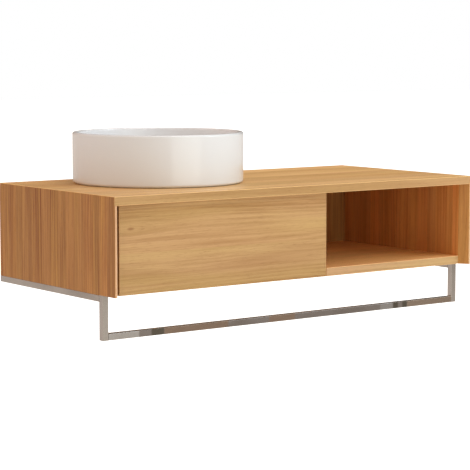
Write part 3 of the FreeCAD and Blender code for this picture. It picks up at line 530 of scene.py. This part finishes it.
# %% Drawer, pegs and battens
THIN_PLY = 1.2 * MM
THICK_PLY = 1.8 * MM
WOOD["drawer_subfront"] = pale_wood("wood_drawer_subfront", FACE_FRONT, 2.9)
WOOD["notch_wall_front"] = pale_wood("wood_notch_front", FACE_FRONT, 6.3)
for seed, name in enumerate(("drawer_back_left", "drawer_back_right"), 3):
    WOOD[name] = pale_wood("wood_" + name, FACE_FRONT, seed + 0.4)
sides = ("drawer_side_left", "drawer_side_right", "notch_wall_left", "notch_wall_right")
for seed, name in enumerate(sides, 11):
    WOOD[name] = pale_wood("wood_" + name, LEVEL_SIDE, seed + 0.7)
WOOD["drawer_bottom"] = plywood("plywood_bottom", ALONG_X, THIN_PLY)
WOOD["case_dowels"] = pale_wood("beech_dowels", UPRIGHT_FRONT, 21.0)
for name in ("hanging_cleat", "wall_cleat", "spacer_batten"):
    WOOD[name] = plywood("plywood_" + name, FACE_FRONT, THICK_PLY)
print(len(WOOD), "wood materials in all")

# %% [markdown]
# ## Metals, plastics, rubber and glaze
# Two more groups cover the rest.  "fine brush" gives long faint scratches with a direction, for
# rolled and polished steel.  "mottle" gives the slow unevenness that moulded plastic, rubber,
# plating and glaze all have at some scale.  Constant values stay on the shader itself.

# %% Brushed and mottled surface groups
def brush_group():
    group, given, result = new_group(
        "fine brush",
        [("Vector", VECTOR, None), ("Color", COLOUR, (0.5, 0.5, 0.5, 1)),
         ("Cloud tint", COLOUR, (0.8, 0.79, 0.78, 1)), ("Roughness", FLOAT, 0.2),
         ("Spread", FLOAT, 0.08)],
        [("Color", COLOUR), ("Roughness", FLOAT), ("Height", FLOAT)],
    )
    lines = drawn_out(group, given["Vector"], 9.0, 2600.0, 3.0, 0.6)
    clouds = drawn_out(group, given["Vector"], 9.0, 22.0, 2.0)
    rough = sway(group, lines, given["Spread"], given["Roughness"])
    rough = sway(group, clouds, given["Spread"], rough)
    group.links.new(rough, result["Roughness"])
    darker = blend_colour(group, 1.0, given["Color"], given["Cloud tint"], "MULTIPLY")
    group.links.new(blend_colour(group, ramp(group, clouds, 0.35, 0.75), given["Color"], darker),
                    result["Color"])
    group.links.new(lines, result["Height"])
    return group


def mottle_group():
    group, given, result = new_group(
        "mottle",
        [("Vector", VECTOR, None), ("Color", COLOUR, (0.5, 0.5, 0.5, 1)), ("Scale", FLOAT, 60.0),
         ("Depth", FLOAT, 0.12), ("Roughness", FLOAT, 0.4), ("Spread", FLOAT, 0.1)],
        [("Color", COLOUR), ("Roughness", FLOAT), ("Height", FLOAT)],
    )
    slow = noise(group, given["Vector"], given["Scale"], 3.0, 0.55)
    fast = noise(group, given["Vector"], maths(group, "MULTIPLY", given["Scale"], 24.0), 2.0)
    shade = maths(group, "SUBTRACT", 1.0, maths(group, "MULTIPLY", slow, given["Depth"]))
    grey = add(group, "ShaderNodeCombineColor", {0: shade, 1: shade, 2: shade}).outputs[0]
    group.links.new(blend_colour(group, 1.0, given["Color"], grey, "MULTIPLY"), result["Color"])
    rough = sway(group, slow, given["Spread"], given["Roughness"])
    group.links.new(rough, result["Roughness"])
    group.links.new(fast, result["Height"])
    return group


BRUSH = brush_group()
MOTTLE = mottle_group()
print("surface groups:", BRUSH.name, "and", MOTTLE.name)

# %% Brushed metal maker
REFLECTION_BLUR = 3.0 * MM        # how softly a painted reflection on the steel begins and ends
BRUSH_RELIEF = 0.006 * MM


def brushed_metal(name, colour, turn, roughness, cloud=(0.8, 0.79, 0.78), painted_reflections=(), faces=()):
    """Steel with its scratches along the turned X.

    Painted reflections are (low, high, tint) stretches along that X; faces are (outward direction,
    tint), a painted reflection on the faces that point that way.
    """
    material, tree, shader, place = new_material(name, Metallic=1.0)
    turned = add(tree, "ShaderNodeMapping", {"Vector": place, "Rotation": turn}).outputs[0]
    base = (*colour, 1)
    along = add(tree, "ShaderNodeSeparateXYZ", {0: turned}).outputs["X"]
    # painted reflections: each stretch along X is tinted like what it mirrors
    for low, high, tint in painted_reflections:
        begun = ramp(tree, along, low - REFLECTION_BLUR, low + REFLECTION_BLUR)
        ended = ramp(tree, along, high - REFLECTION_BLUR, high + REFLECTION_BLUR)
        inside = maths(tree, "MULTIPLY", begun, maths(tree, "SUBTRACT", 1.0, ended))
        base = blend_colour(tree, inside, base, (*tint, 1))
    if faces:
        normal = add(tree, "ShaderNodeNewGeometry").outputs["Normal"]
    # painted reflections on the faces that point one way
    for outward, tint in faces:
        facing = add(tree, "ShaderNodeVectorMath", {0: normal, 1: outward}, operation="DOT_PRODUCT")
        amount = ramp(tree, facing.outputs["Value"], 0.5, 0.9)
        base = blend_colour(tree, amount, base, (*tint, 1))
    values = {"Vector": turned, "Color": base, "Roughness": roughness, "Cloud tint": (*cloud, 1)}
    surface = use_group(tree, BRUSH, values)
    coat(tree, shader, surface["Color"], surface, BRUSH_RELIEF)
    return material


print("brushed metal maker ready")

# %% Moulded and plated surface maker
def mottled(name, colour, scale, roughness, depth=0.12, spread=0.1, relief=0.02 * MM, **settings):
    material, tree, shader, place = new_material(name, **settings)
    values = {
        "Vector": place, "Color": (*colour, 1), "Scale": scale, "Depth": depth,
        "Roughness": roughness, "Spread": spread,
    }
    surface = use_group(tree, MOTTLE, values)
    coat(tree, shader, surface["Color"], surface, relief)
    return material


print("moulded surface maker ready")

# %% [markdown]
# ## The steel frame
# Polished steel shows the room rather than itself, so its tone changes from place to place
# along the towel bar and from face to face of the posts.  Here those changes are painted
# reflections: each tint is painted into the steel's colour at a fixed place, in the colour of
# what that stretch or face mirrors: a darker corner, a warmer wall or the pale floor.  The
# towel bar's own colour is darkened as a painted reflection too.

# %% Painted reflections on the steel
ALONG_Y = (0.0, 0.0, math.radians(90))
ALONG_Z = (0.0, math.radians(90), 0.0)
TO_FRONT, TO_LEFT, TO_RIGHT = (0, -1, 0), (-1, 0, 0), (1, 0, 0)
TO_SKY, TO_FLOOR = (0, 0, 1), (0, 0, -1)
STEEL = (0.47, 0.42, 0.38)
# painted reflections: tints of the posts' front and left faces
POST_FRONT_REFLECTION = (0.37, 0.33, 0.29)
POST_LEFT_REFLECTION = (0.50, 0.455, 0.42)
# painted reflections on the towel bar: its darkened own colour, its tinted stretches and its top
BAR_STEEL = (0.219, 0.189, 0.168)
BAR_LIGHT = (0.285, 0.266, 0.245)
BAR_BROWN = (0.235, 0.168, 0.122)
BAR_TAN = (0.27, 0.205, 0.155)
BAR_DARK = (0.105, 0.09, 0.068)
BAR_PALE = (0.39, 0.365, 0.34)
BAR_TOP_REFLECTION = (0.13, 0.12, 0.12)
BAR_CLOUD = (0.85, 0.83, 0.80)
BAR_REFLECTIONS = [                   # painted reflections: from, to and tint, along the bar from its middle
    (-0.60, -0.430, BAR_PALE),
    (-0.397, -0.362, BAR_DARK),
    (-0.362, -0.185, BAR_BROWN),
    (-0.067, 0.010, BAR_BROWN),
    (0.275, 0.316, BAR_LIGHT),
    (0.316, 0.332, BAR_DARK),
    (0.346, 0.362, BAR_DARK),
    (0.362, 0.60, BAR_TAN),
]
print(len(BAR_REFLECTIONS), "stretches of the bar have a tint of their own")

# %% Metals, plastics, rubber and glaze
POLISH = 0.2
# the bar and the posts carry painted reflections
steel_x = brushed_metal(
    "steel_along_x", BAR_STEEL, ALONG_X, POLISH, cloud=BAR_CLOUD, painted_reflections=BAR_REFLECTIONS,
    faces=[(TO_SKY, BAR_TOP_REFLECTION)])
steel_y = brushed_metal("steel_along_y", STEEL, ALONG_Y, POLISH)
steel_z = brushed_metal(
    "steel_along_z", STEEL, ALONG_Z, POLISH, faces=[(TO_FRONT, POST_FRONT_REFLECTION), (TO_LEFT, POST_LEFT_REFLECTION)])
zinc = brushed_metal("zinc_plate", (0.60, 0.61, 0.62), ALONG_Y, 0.3)
chrome = mottled("chrome", (0.78, 0.78, 0.79), 30.0, 0.06, depth=0.05, spread=0.03,
                 relief=0.002 * MM, Metallic=1.0)
nylon = mottled("nylon", (0.74, 0.73, 0.69), 90.0, 0.42, depth=0.1)
black_plastic = mottled("black_plastic", (0.035, 0.035, 0.037), 150.0, 0.5, depth=0.3)
white_plastic = mottled(
    "white_plastic", (0.80, 0.80, 0.79), 70.0, 0.27, depth=0.06, relief=0.01 * MM)
rubber = mottled("rubber", (0.035, 0.034, 0.033), 120.0, 0.7, depth=0.3, relief=0.04 * MM)
silicone = mottled("silicone", (0.50, 0.47, 0.43), 60.0, 0.3, depth=0.15)
glaze = mottled("white_glaze", (0.80, 0.82, 0.84), 7.0, 0.22, depth=0.035, spread=0.05,
                relief=0.004 * MM, Coat_Weight=0.5, Coat_Roughness=0.05, Specular_IOR_Level=0.5)
print("metals and moulded materials ready")

# %% [markdown]
# ## Giving the design's own parts their finish
# Most parts already have their true shape in the design, holes and rounded tubes included.
# Those stay as they are, and only the material in their slot is changed.  A table of names and
# materials does it in one loop, and the parts that come in families are found by their names.

# %% Finish the carried-over parts
FINISH = {
    "rail_left": steel_y, "rail_right": steel_y, "post_left": steel_z, "post_right": steel_z,
    "towel_bar": steel_x, "post_caps": steel_z, "rail_caps": black_plastic,
    "rail_plugs": black_plastic, "frame_screws": zinc, "divider_bumpers": rubber,
    "basin_seal": silicone, "plug_seal": rubber, "flange_washer": rubber,
    "waste_gasket": rubber, "trap_inlet_seal": rubber, "waste_body": chrome, "waste_plug": chrome,
    "waste_nut": white_plastic, "basin": glaze,
}
for name in nodes:
    if name.startswith(("trap_", "outlet_")) and name not in FINISH:
        FINISH[name] = white_plastic
    if name.endswith("_cage"):
        FINISH[name] = nylon
    if name.startswith("runner_") and name not in FINISH:
        FINISH[name] = zinc
FINISH.update(WOOD)
for name, material in FINISH.items():
    for socket in nodes[name].material_slots:
        socket.material = material
bare = [name for name in nodes if name not in FINISH]
print(len(FINISH), "parts finished; still bare:", bare)

# %% [markdown]
# ## Easing the boards' edges
# No joiner leaves an edge sharp: a few strokes of a plane or abrasive ease it, and that small
# rounding is what catches the light.  The design has already rounded the boards' longest edges.
# A Bevel modifier on the rest would also round the dowel and screw holes.  Instead each board's
# own mesh is copied, its triangles are merged back to flat faces, and only the long edges that
# are still sharp are bevelled.  The narrow slanting faces of both kinds are shaded smooth and
# marked with the "edge" attribute, which the hardwood material reads to paint a highlight along them.

# %% Board maker
SAME_POINT = 1e-6           # points closer than this are merged
SAME_PLANE = 0.01           # radians between triangles of one flat face
SHARP = math.radians(35)
SHORTEST_EDGE = 12.0 * MM   # shorter ones belong to holes
FACES_THAT_WAY = 0.95       # cosine to a band's direction
SQUARE_TO_AXIS = 0.99       # a face past this is no rounding
WIDEST_ROUNDING = 0.001     # square metres
END_ROUNDING = 1.6 * MM


def body_of(node):
    return nodes[node]["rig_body"]


def link_piece(mesh, name):
    piece = bpy.data.objects.new(name, mesh)
    bpy.context.scene.collection.objects.link(piece)
    return piece


def eased_board(node, width, bands=(), square_below=None):
    """Copy of a board with its long outer edges rounded.

    Bands are (outward direction, material).  Below the height square_below the rounding of the
    ends is taken out again, because a tight glued joint shows no groove.
    """
    shape = bmesh.new()
    shape.from_mesh(nodes[node].data)
    bmesh.ops.remove_doubles(shape, verts=shape.verts, dist=SAME_POINT)
    if square_below is not None:
        end = max(vert.co.x for vert in shape.verts)
        for vert in shape.verts:
            if abs(vert.co.x) > end - END_ROUNDING and vert.co.z < square_below:
                vert.co.x = math.copysign(end, vert.co.x)
    bmesh.ops.dissolve_limit(shape, angle_limit=SAME_PLANE, verts=shape.verts, edges=shape.edges)
    sharp = []
    for edge in shape.edges:
        long_enough = edge.calc_length() >= SHORTEST_EDGE
        if len(edge.link_faces) == 2 and long_enough and edge.is_convex:
            if edge.calc_face_angle() > SHARP:
                sharp.append(edge)
    rounded = set()
    if sharp:
        made = bmesh.ops.bevel(
            shape, geom=sharp, offset=width, offset_type="OFFSET", segments=3, profile=0.5,
            affect="EDGES", clamp_overlap=True)
        rounded = set(made["faces"])
    for index, (outward, _) in enumerate(bands, 1):
        for face in shape.faces:
            if face.normal.dot(Vector(outward)) > FACES_THAT_WAY:
                face.material_index = index
    # the "edge" mark: the hardwood material paints these faces lighter, a painted highlight
    mark = shape.faces.layers.float.new("edge")
    for face in shape.faces:
        slanting = max(abs(value) for value in face.normal) < SQUARE_TO_AXIS
        narrow = face.calc_area() < WIDEST_ROUNDING
        face.smooth = (slanting and narrow) or face in rounded
        face[mark] = 1.0 if face.smooth else 0.0
    mesh = bpy.data.meshes.new(node + "_eased")
    shape.to_mesh(mesh)
    open_edges = sum(1 for edge in shape.edges if len(edge.link_faces) != 2)
    shape.free()
    mesh.materials.append(WOOD[node])
    for _, material in bands:
        mesh.materials.append(material)
    piece = link_piece(mesh, node + "_eased")
    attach(piece, body_of(node))
    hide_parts(node)
    print(node, len(mesh.polygons), "faces,", len(sharp), "edges eased,", open_edges, "open")
    return piece


print("board maker ready")

# %% Ease the cabinet's boards
CABINET_EASE = 0.9 * MM
# the bands put on the single-face copies: partly a painted highlight on the front edges, painted light
# on the niche's inner side and the shelf's front edge
eased_board("side_panel_left", CABINET_EASE, [(TO_FRONT, edge_band)])
eased_board("side_panel_right", CABINET_EASE, [(TO_FRONT, edge_band), (TO_LEFT, niche_side)])
eased_board("bottom_board", CABINET_EASE, [(TO_FRONT, shelf_band), (TO_FLOOR, underside)])
eased_board("divider", CABINET_EASE, [(TO_FRONT, edge_band)])
eased_board("drawer_front", CABINET_EASE)
top_bands = [
    (TO_FRONT, level_band),
    (TO_LEFT, WOOD["side_panel_left"]),
    (TO_RIGHT, WOOD["side_panel_right"]),
]
joint_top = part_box("side_panel_left")[1].z + END_ROUNDING
eased_board("top_board", CABINET_EASE, top_bands, square_below=joint_top)

# %% Ease the drawer's boards
DRAWER_EASE = 0.8 * MM
for name in ("drawer_subfront", "drawer_side_left", "drawer_side_right", "drawer_back_left",
             "drawer_back_right", "notch_wall_left", "notch_wall_right", "notch_wall_front"):
    eased_board(name, DRAWER_EASE)

# %% [markdown]
# ## Balls in the runners
# A drawer runner rolls on rows of steel balls that a nylon cage keeps apart.  Eight rows of
# balls would be dull to place by hand.  A Geometry Nodes tree does it from one point per row:
# it makes a line of balls and puts that line on every point.  The tree ends in Realize
# Instances and Set Material, and the result is kept as a plain mesh, because an exported model
# holds no instances.

# %% Geometry Nodes helpers
def new_tree(name, inputs):
    """A Geometry Nodes tree with a Geometry input and output and named sizes."""
    tree = bpy.data.node_groups.new(name, "GeometryNodeTree")
    tree.interface.new_socket("Geometry", in_out="INPUT", socket_type="NodeSocketGeometry")
    for label, kind in inputs:
        tree.interface.new_socket(label, in_out="INPUT", socket_type=kind)
    tree.interface.new_socket("Geometry", in_out="OUTPUT", socket_type="NodeSocketGeometry")
    source = tree.nodes.new("NodeGroupInput")
    target = tree.nodes.new("NodeGroupOutput")
    return tree, source.outputs, target.inputs


def finish_tree(tree, instances, material, target, smooth=True):
    """Turns instances into real geometry with a material."""
    real = add(tree, "GeometryNodeRealizeInstances", {"Geometry": instances}).outputs[0]
    if smooth:
        real = add(tree, "GeometryNodeSetShadeSmooth", {"Geometry": real}).outputs[0]
    painted = add(tree, "GeometryNodeSetMaterial", {"Geometry": real, "Material": material}).outputs[0]
    tree.links.new(painted, target["Geometry"])


def grow(name, tree, points, body, values):
    """Runs a tree on a few points and keeps the result as a plain mesh that rides on a body."""
    start = bpy.data.meshes.new(name + "_points")
    start.from_pydata([tuple(point) for point in points], [], [])
    piece = link_piece(start, name)
    modifier = piece.modifiers.new("grow", "NODES")
    modifier.node_group = tree
    for socket in tree.interface.items_tree:
        if socket.in_out == "INPUT" and socket.name in values:
            modifier[socket.identifier] = values[socket.name]
    grown = piece.evaluated_get(bpy.context.evaluated_depsgraph_get())
    mesh = bpy.data.meshes.new_from_object(grown)
    piece.modifiers.remove(modifier)
    piece.data = mesh
    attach(piece, body)
    print(name, len(mesh.polygons), "faces")
    return piece


MATERIAL = "NodeSocketMaterial"
OBJECT = "NodeSocketObject"
INTEGER = "NodeSocketInt"
print("geometry helpers ready")

# %% Rows of balls
def ball_tree():
    tree, given, target = new_tree("rows of balls", [
        ("Count", INTEGER), ("Pitch", VECTOR), ("Radius", FLOAT), ("Material", MATERIAL)])
    line = add(tree, "GeometryNodeMeshLine", {"Count": given["Count"], "Offset": given["Pitch"]},
               mode="OFFSET").outputs[0]
    ball = add(tree, "GeometryNodeMeshIcoSphere", {"Radius": given["Radius"], "Subdivisions": 2})
    row = add(tree, "GeometryNodeInstanceOnPoints", {"Points": line, "Instance": ball.outputs[0]})
    rows = add(tree, "GeometryNodeInstanceOnPoints",
               {"Points": given["Geometry"], "Instance": row.outputs[0]})
    finish_tree(tree, rows.outputs[0], given["Material"], target)
    return tree


BALL_TREE = ball_tree()
ball_steel = brushed_metal("ball_steel", (0.66, 0.66, 0.67), ALONG_X, 0.12)
BALL_RADIUS = 2.1 * MM
BALL_GAP = 12.0 * MM
FIRST_BALL = 8.0 * MM       # from the cage's end
CAGE_TO_ROW = 4.6 * MM      # from the cage's face to the middle of its balls
OUTER_ROW = 19.15 * MM      # above and below the runner's middle
INNER_ROW = 13.65 * MM


def ball_rows(which, off_middle):
    """Ball rows of the outer or the inner cages, above and below the middle of both runners."""
    starts = []
    for side in ("left", "right"):
        low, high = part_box(f"runner_{side}_{which}_cage")
        x = low.x + CAGE_TO_ROW if side == "left" else high.x - CAGE_TO_ROW
        middle = (low.z + high.z) / 2
        for sign in (-1, 1):
            starts.append((x, low.y + FIRST_BALL, middle + sign * off_middle))
    count = int((high.y - low.y - 2 * FIRST_BALL) / BALL_GAP) + 1
    return grow(f"{which}_balls", BALL_TREE, starts, f"{which}_cages", {
        "Count": count, "Pitch": (0.0, BALL_GAP, 0.0), "Radius": BALL_RADIUS,
        "Material": ball_steel})


ball_rows("outer", OUTER_ROW)
ball_rows("inner", INNER_ROW)

# %% [markdown]
# ## Grips on the trap's nuts
# Plastic plumbing is tightened by hand, so its nuts have ribs to hold.  One tree stands a ring
# of slim ribs round an axis, then turns and moves the ring to a nut.  The ribs sink a little
# more than halfway into the nut, so nothing floats.

# %% Ribs round the nuts
def rib_tree():
    tree, given, target = new_tree("ring of ribs", [
        ("Count", INTEGER), ("Ring radius", FLOAT), ("Rib radius", FLOAT), ("Length", FLOAT),
        ("Turn", "NodeSocketRotation"), ("Place", VECTOR), ("Material", MATERIAL)])
    ring = add(tree, "GeometryNodeMeshCircle",
               {"Vertices": given["Count"], "Radius": given["Ring radius"]})
    rib = add(tree, "GeometryNodeMeshCylinder",
              {"Vertices": 10, "Radius": given["Rib radius"], "Depth": given["Length"]})
    ribs = add(tree, "GeometryNodeInstanceOnPoints",
               {"Points": ring.outputs[0], "Instance": rib.outputs[0]})
    turned = add(tree, "GeometryNodeTransform", {
        "Geometry": ribs.outputs[0], "Rotation": given["Turn"], "Translation": given["Place"]})
    finish_tree(tree, turned.outputs[0], given["Material"], target, smooth=False)
    return tree


RIB_TREE = rib_tree()
NUT_RIBS = {"trap_inlet_nut": 30, "trap_neck_nut": 28, "trap_outlet_nut": 28}
CUP_RIBS = 40
RIB_RADIUS = 1.1 * MM
CUP_RIB_RADIUS = 1.2 * MM
RIB_SINK = 0.3 * MM         # how far a rib's middle lies under the nut's surface
BARE_ENDS = 3.4 * MM        # what both ends of a nut leave free of ribs
GRIP_LENGTH = 13.5 * MM
GRIP_BELOW_RIM = 8.0 * MM


def ribbed(name, count, rib_radius, length, lean, place):
    """Ring of ribs on a round part, with its axis turned about X by lean."""
    low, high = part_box(name)
    ring_radius = (high.x - low.x) / 2 - RIB_SINK
    grow(name + "_ribs", RIB_TREE, [(0, 0, 0)], body_of(name), {
        "Count": count, "Ring radius": ring_radius, "Rib radius": rib_radius, "Length": length,
        "Turn": (lean, 0.0, 0.0), "Place": place, "Material": white_plastic})


for name, count in NUT_RIBS.items():
    low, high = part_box(name)
    level = name == "trap_outlet_nut"
    height = high.y - low.y if level else high.z - low.z
    lean = math.radians(90) if level else 0.0
    ribbed(name, count, RIB_RADIUS, height - BARE_ENDS, lean, (low + high) / 2)
low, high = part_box("trap_cup")
grip = ((low.x + high.x) / 2, (low.y + high.y) / 2, high.z - GRIP_BELOW_RIM)
ribbed("trap_cup", CUP_RIBS, CUP_RIB_RADIUS, GRIP_LENGTH, 0.0, grip)

# %% [markdown]
# ## Screws with a cross recess
# The heads inside the drawer and on the back of the cabinet can be seen, so they get a real
# cross recess.  One head is turned on a lathe of rings, the recess is cut out of it with a
# Boolean, and a tree puts the screw on every place where the design has one.

# %% Lathe
NO_RADIUS = 1e-7            # a profile point this close to the axis is on it


def lathe(name, profile, segments):
    """Closed solid of revolution about Z; profile is (radius, height) from axis to axis."""
    verts, rings, faces = [], [], []
    for radius, height in profile:
        if radius < NO_RADIUS:
            rings.append([len(verts)])
            verts.append((0.0, 0.0, height))
            continue
        rings.append(list(range(len(verts), len(verts) + segments)))
        for i in range(segments):
            angle = 2 * math.pi * i / segments
            verts.append((radius * math.cos(angle), radius * math.sin(angle), height))
    for below, above in zip(rings, rings[1:]):
        for i in range(segments):
            j = (i + 1) % segments
            corners = [below[i % len(below)], below[j % len(below)],
                       above[j % len(above)], above[i % len(above)]]
            faces.append(tuple(dict.fromkeys(corners)))
    mesh = bpy.data.meshes.new(name)
    mesh.from_pydata(verts, [], faces)
    return mesh


print("lathe ready")

# %% Cross recess
TAPER = 0.62                # the recess's width at its foot, against that at its mouth
CLEAR = 0.2 * MM            # how far the cutter stands out of the head
SCREW_SEGMENTS = 32


def cross_cutter(width, reach, top, depth):
    """Plus-shaped tapering plug for the recess."""
    shape = bmesh.new()
    for long_x, long_y in ((reach, width), (width, reach)):
        made = bmesh.ops.create_cube(shape, size=1.0)["verts"]
        for vert in made:
            narrow = 1.0 if vert.co.z > 0 else TAPER
            height = top + CLEAR if vert.co.z > 0 else top - depth
            vert.co = Vector((vert.co.x * long_x * narrow, vert.co.y * long_y * narrow, height))
    mesh = bpy.data.meshes.new("cross_cutter")
    shape.to_mesh(mesh)
    shape.free()
    return mesh


def recessed_screw(name, profile, width, reach, depth):
    """The lathe's screw with its recess cut, as an object that isn't in the scene."""
    blank = link_piece(lathe(name, profile, SCREW_SEGMENTS), name)
    cutter = link_piece(cross_cutter(width, reach, profile[-1][1], depth), name + "_cutter")
    cut = blank.modifiers.new("cut", "BOOLEAN")
    cut.object = cutter
    cut.operation = "DIFFERENCE"
    cut.solver = "EXACT"
    cut.use_self = True
    finished = blank.evaluated_get(bpy.context.evaluated_depsgraph_get())
    result = bpy.data.meshes.new_from_object(finished)
    bpy.data.objects.remove(cutter)
    bpy.data.objects.remove(blank)
    return bpy.data.objects.new(name, result)


print("recess cutter ready")

# %% The two kinds of screw
PAN_HEIGHT = 2.4 * MM


def pointed_shank(radius, length):
    """The profile's lower end, from the tip to the full radius."""
    return [(0.0, -length), (radius * 0.35, -length + radius), (radius, -length + 2.2 * radius)]


def pan_profile(shank, length, head, height):
    """Pan head: its underside lies at height zero."""
    return pointed_shank(shank, length) + [
        (shank, 0.0), (head * 0.97, 0.0), (head, 0.25 * height), (head * 0.93, 0.62 * height),
        (head * 0.74, 0.86 * height), (head * 0.45, 0.97 * height), (0.0, height)]


def countersunk_profile(shank, length, head, height):
    """Countersunk head: its top lies at height zero."""
    return pointed_shank(shank, length) + [
        (shank, -height), (head, -0.12 * height), (head, 0.0), (0.0, 0.0)]


pan_screw = recessed_screw(
    "pan_screw", pan_profile(shank=2.0 * MM, length=24.0 * MM, head=4.0 * MM, height=PAN_HEIGHT),
    width=1.0 * MM, reach=4.0 * MM, depth=1.6 * MM)
flat_screw = recessed_screw(
    "flat_screw",
    countersunk_profile(shank=2.25 * MM, length=28.0 * MM, head=4.5 * MM, height=3.0 * MM),
    width=1.1 * MM, reach=4.6 * MM, depth=1.9 * MM)
print("screws:", len(pan_screw.data.polygons), "and", len(flat_screw.data.polygons), "faces")

# %% Screws where the design has them
def screw_tree():
    tree, given, target = new_tree("screws on points", [
        ("Screw", OBJECT), ("Turn", "NodeSocketRotation"), ("Material", MATERIAL)])
    shape = add(tree, "GeometryNodeObjectInfo", {"Object": given["Screw"]}).outputs["Geometry"]
    placed = add(tree, "GeometryNodeInstanceOnPoints", {
        "Points": given["Geometry"], "Instance": shape, "Rotation": given["Turn"]})
    finish_tree(tree, placed.outputs[0], given["Material"], target, smooth=False)
    return tree


def islands(node):
    """Box of each loose solid in a node's mesh."""
    shape = bmesh.new()
    shape.from_mesh(nodes[node].data)
    bmesh.ops.remove_doubles(shape, verts=shape.verts, dist=SAME_POINT)
    left, boxes = set(shape.verts), []
    while left:
        queue = [left.pop()]
        found = list(queue)
        while queue:
            for edge in queue.pop().link_edges:
                for vert in edge.verts:
                    if vert in left:
                        left.remove(vert)
                        queue.append(vert)
                        found.append(vert)
        low = Vector([min(vert.co[i] for vert in found) for i in range(3)])
        high = Vector([max(vert.co[i] for vert in found) for i in range(3)])
        boxes.append((low, high))
    shape.free()
    return boxes


SCREW_TREE = screw_tree()
TO_REAR = (math.radians(-90), 0.0, 0.0)
screw_rows = (("drawer_front_screws", pan_screw, PAN_HEIGHT), ("cleat_screws", flat_screw, 0.0))
for name, screw, head_stands in screw_rows:
    seats = []
    for low, high in islands(name):
        seats.append(((low.x + high.x) / 2, high.y - head_stands, (low.z + high.z) / 2))
    values = {"Screw": screw, "Turn": TO_REAR, "Material": zinc}
    placed = grow(name + "_crossed", SCREW_TREE, seats, body_of(name), values)
    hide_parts(name)
    print(name, len(seats), "places")
for screw in (pan_screw, flat_screw):
    bpy.data.objects.remove(screw)

# %% [markdown]
# ## Floor and light
# The washstand hangs on a wall, so the floor is as far below it as in a bathroom.  The light is
# that of a plain studio: a surround that is warmer on the left and behind, a broad cool light
# from the front right and above, a warm one from overhead, and a weak one straight from the
# front, low down, that the glaze and the steel mirror.  The floor and the surround look plain
# white from the camera and are dimmer for everything else, so they don't wash out the shade.

# %% Floor
FLOOR_BELOW = 0.60
HALF_FLOOR = 30.0
FLOOR_GLOW = 0.2
SEEN_GLOW = 0.8             # added where the camera looks straight at it
floor_mesh = bpy.data.meshes.new("floor")
floor_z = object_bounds()[0][2] - FLOOR_BELOW
corners = [(x * HALF_FLOOR, y * HALF_FLOOR, floor_z) for x, y in ((-1, -1), (1, -1), (1, 1), (-1, 1))]
floor_mesh.from_pydata(corners, [], [(0, 1, 2, 3)])
floor = link_piece(floor_mesh, "floor")
pale = bpy.data.materials.new("pale_floor")
pale.use_nodes = True
paint = pale.node_tree.nodes["Principled BSDF"]
paint.inputs["Base Color"].default_value = (0.9, 0.9, 0.9, 1)
paint.inputs["Roughness"].default_value = 0.9
paint.inputs["Emission Color"].default_value = (1, 1, 1, 1)
direct = add(pale.node_tree, "ShaderNodeLightPath").outputs["Is Camera Ray"]
glow = maths(pale.node_tree, "MULTIPLY_ADD", direct, SEEN_GLOW, FLOOR_GLOW)
pale.node_tree.links.new(glow, paint.inputs["Emission Strength"])
floor_mesh.materials.append(pale)
print("floor at", round(floor_z, 3))

# %% Surround
FROM_LEFT = (0.745, 0.635, 0.555, 1)
FROM_RIGHT = (0.485, 0.50, 0.465, 1)
REAR_LEFT = (1.0, 0.74, 0.62, 1)
REAR_RIGHT = (0.22, 0.19, 0.16, 1)
world = bpy.data.worlds.new("surround")
world.use_nodes = True
bpy.context.scene.world = world
room = world.node_tree
shine = room.nodes["Background"]
towards = add(room, "ShaderNodeTexCoord").outputs["Generated"]
split = add(room, "ShaderNodeSeparateXYZ", {0: towards}).outputs
sideways = ramp(room, split["X"], -0.9, 0.7)
behind = ramp(room, split["Y"], -0.1, 0.7)
tint = blend_colour(room, sideways, FROM_LEFT, FROM_RIGHT)
rear = blend_colour(room, sideways, REAR_LEFT, REAR_RIGHT)
tint = blend_colour(room, behind, tint, rear)
seen = add(room, "ShaderNodeLightPath").outputs["Is Camera Ray"]
room.links.new(blend_colour(room, seen, tint, (1, 1, 1, 1)), shine.inputs["Color"])
shine.inputs["Strength"].default_value = 1.0
print("surround has", len(room.nodes), "nodes")

# %% Lights
def soft_light(name, place, size, watts, colour):
    """Square lamp, size metres wide, that points at the camera's target."""
    data = bpy.data.lights.new(name, "AREA")
    data.shape = "SQUARE"
    data.size = size
    data.energy = watts
    data.color = colour
    lamp = bpy.data.objects.new(name, data)
    lamp.location = place
    lamp.rotation_euler = (TARGET - Vector(place)).to_track_quat("-Z", "Y").to_euler()
    bpy.context.scene.collection.objects.link(lamp)


soft_light("key", (2.95, -3.1, 2.1), 2.2, 68.0, (0.80, 0.90, 1.0))
soft_light("top", (0.4, -0.9, 3.0), 1.8, 33.0, (1.0, 0.89, 0.88))
soft_light("front", (0.0, -3.6, 0.1), 2.4, 20.0, (0.96, 1.0, 0.92))
bpy.context.scene.view_settings.view_transform = "Standard"
lamps = [thing.name for thing in bpy.context.scene.objects if thing.type == "LIGHT"]
print("lights:", lamps)
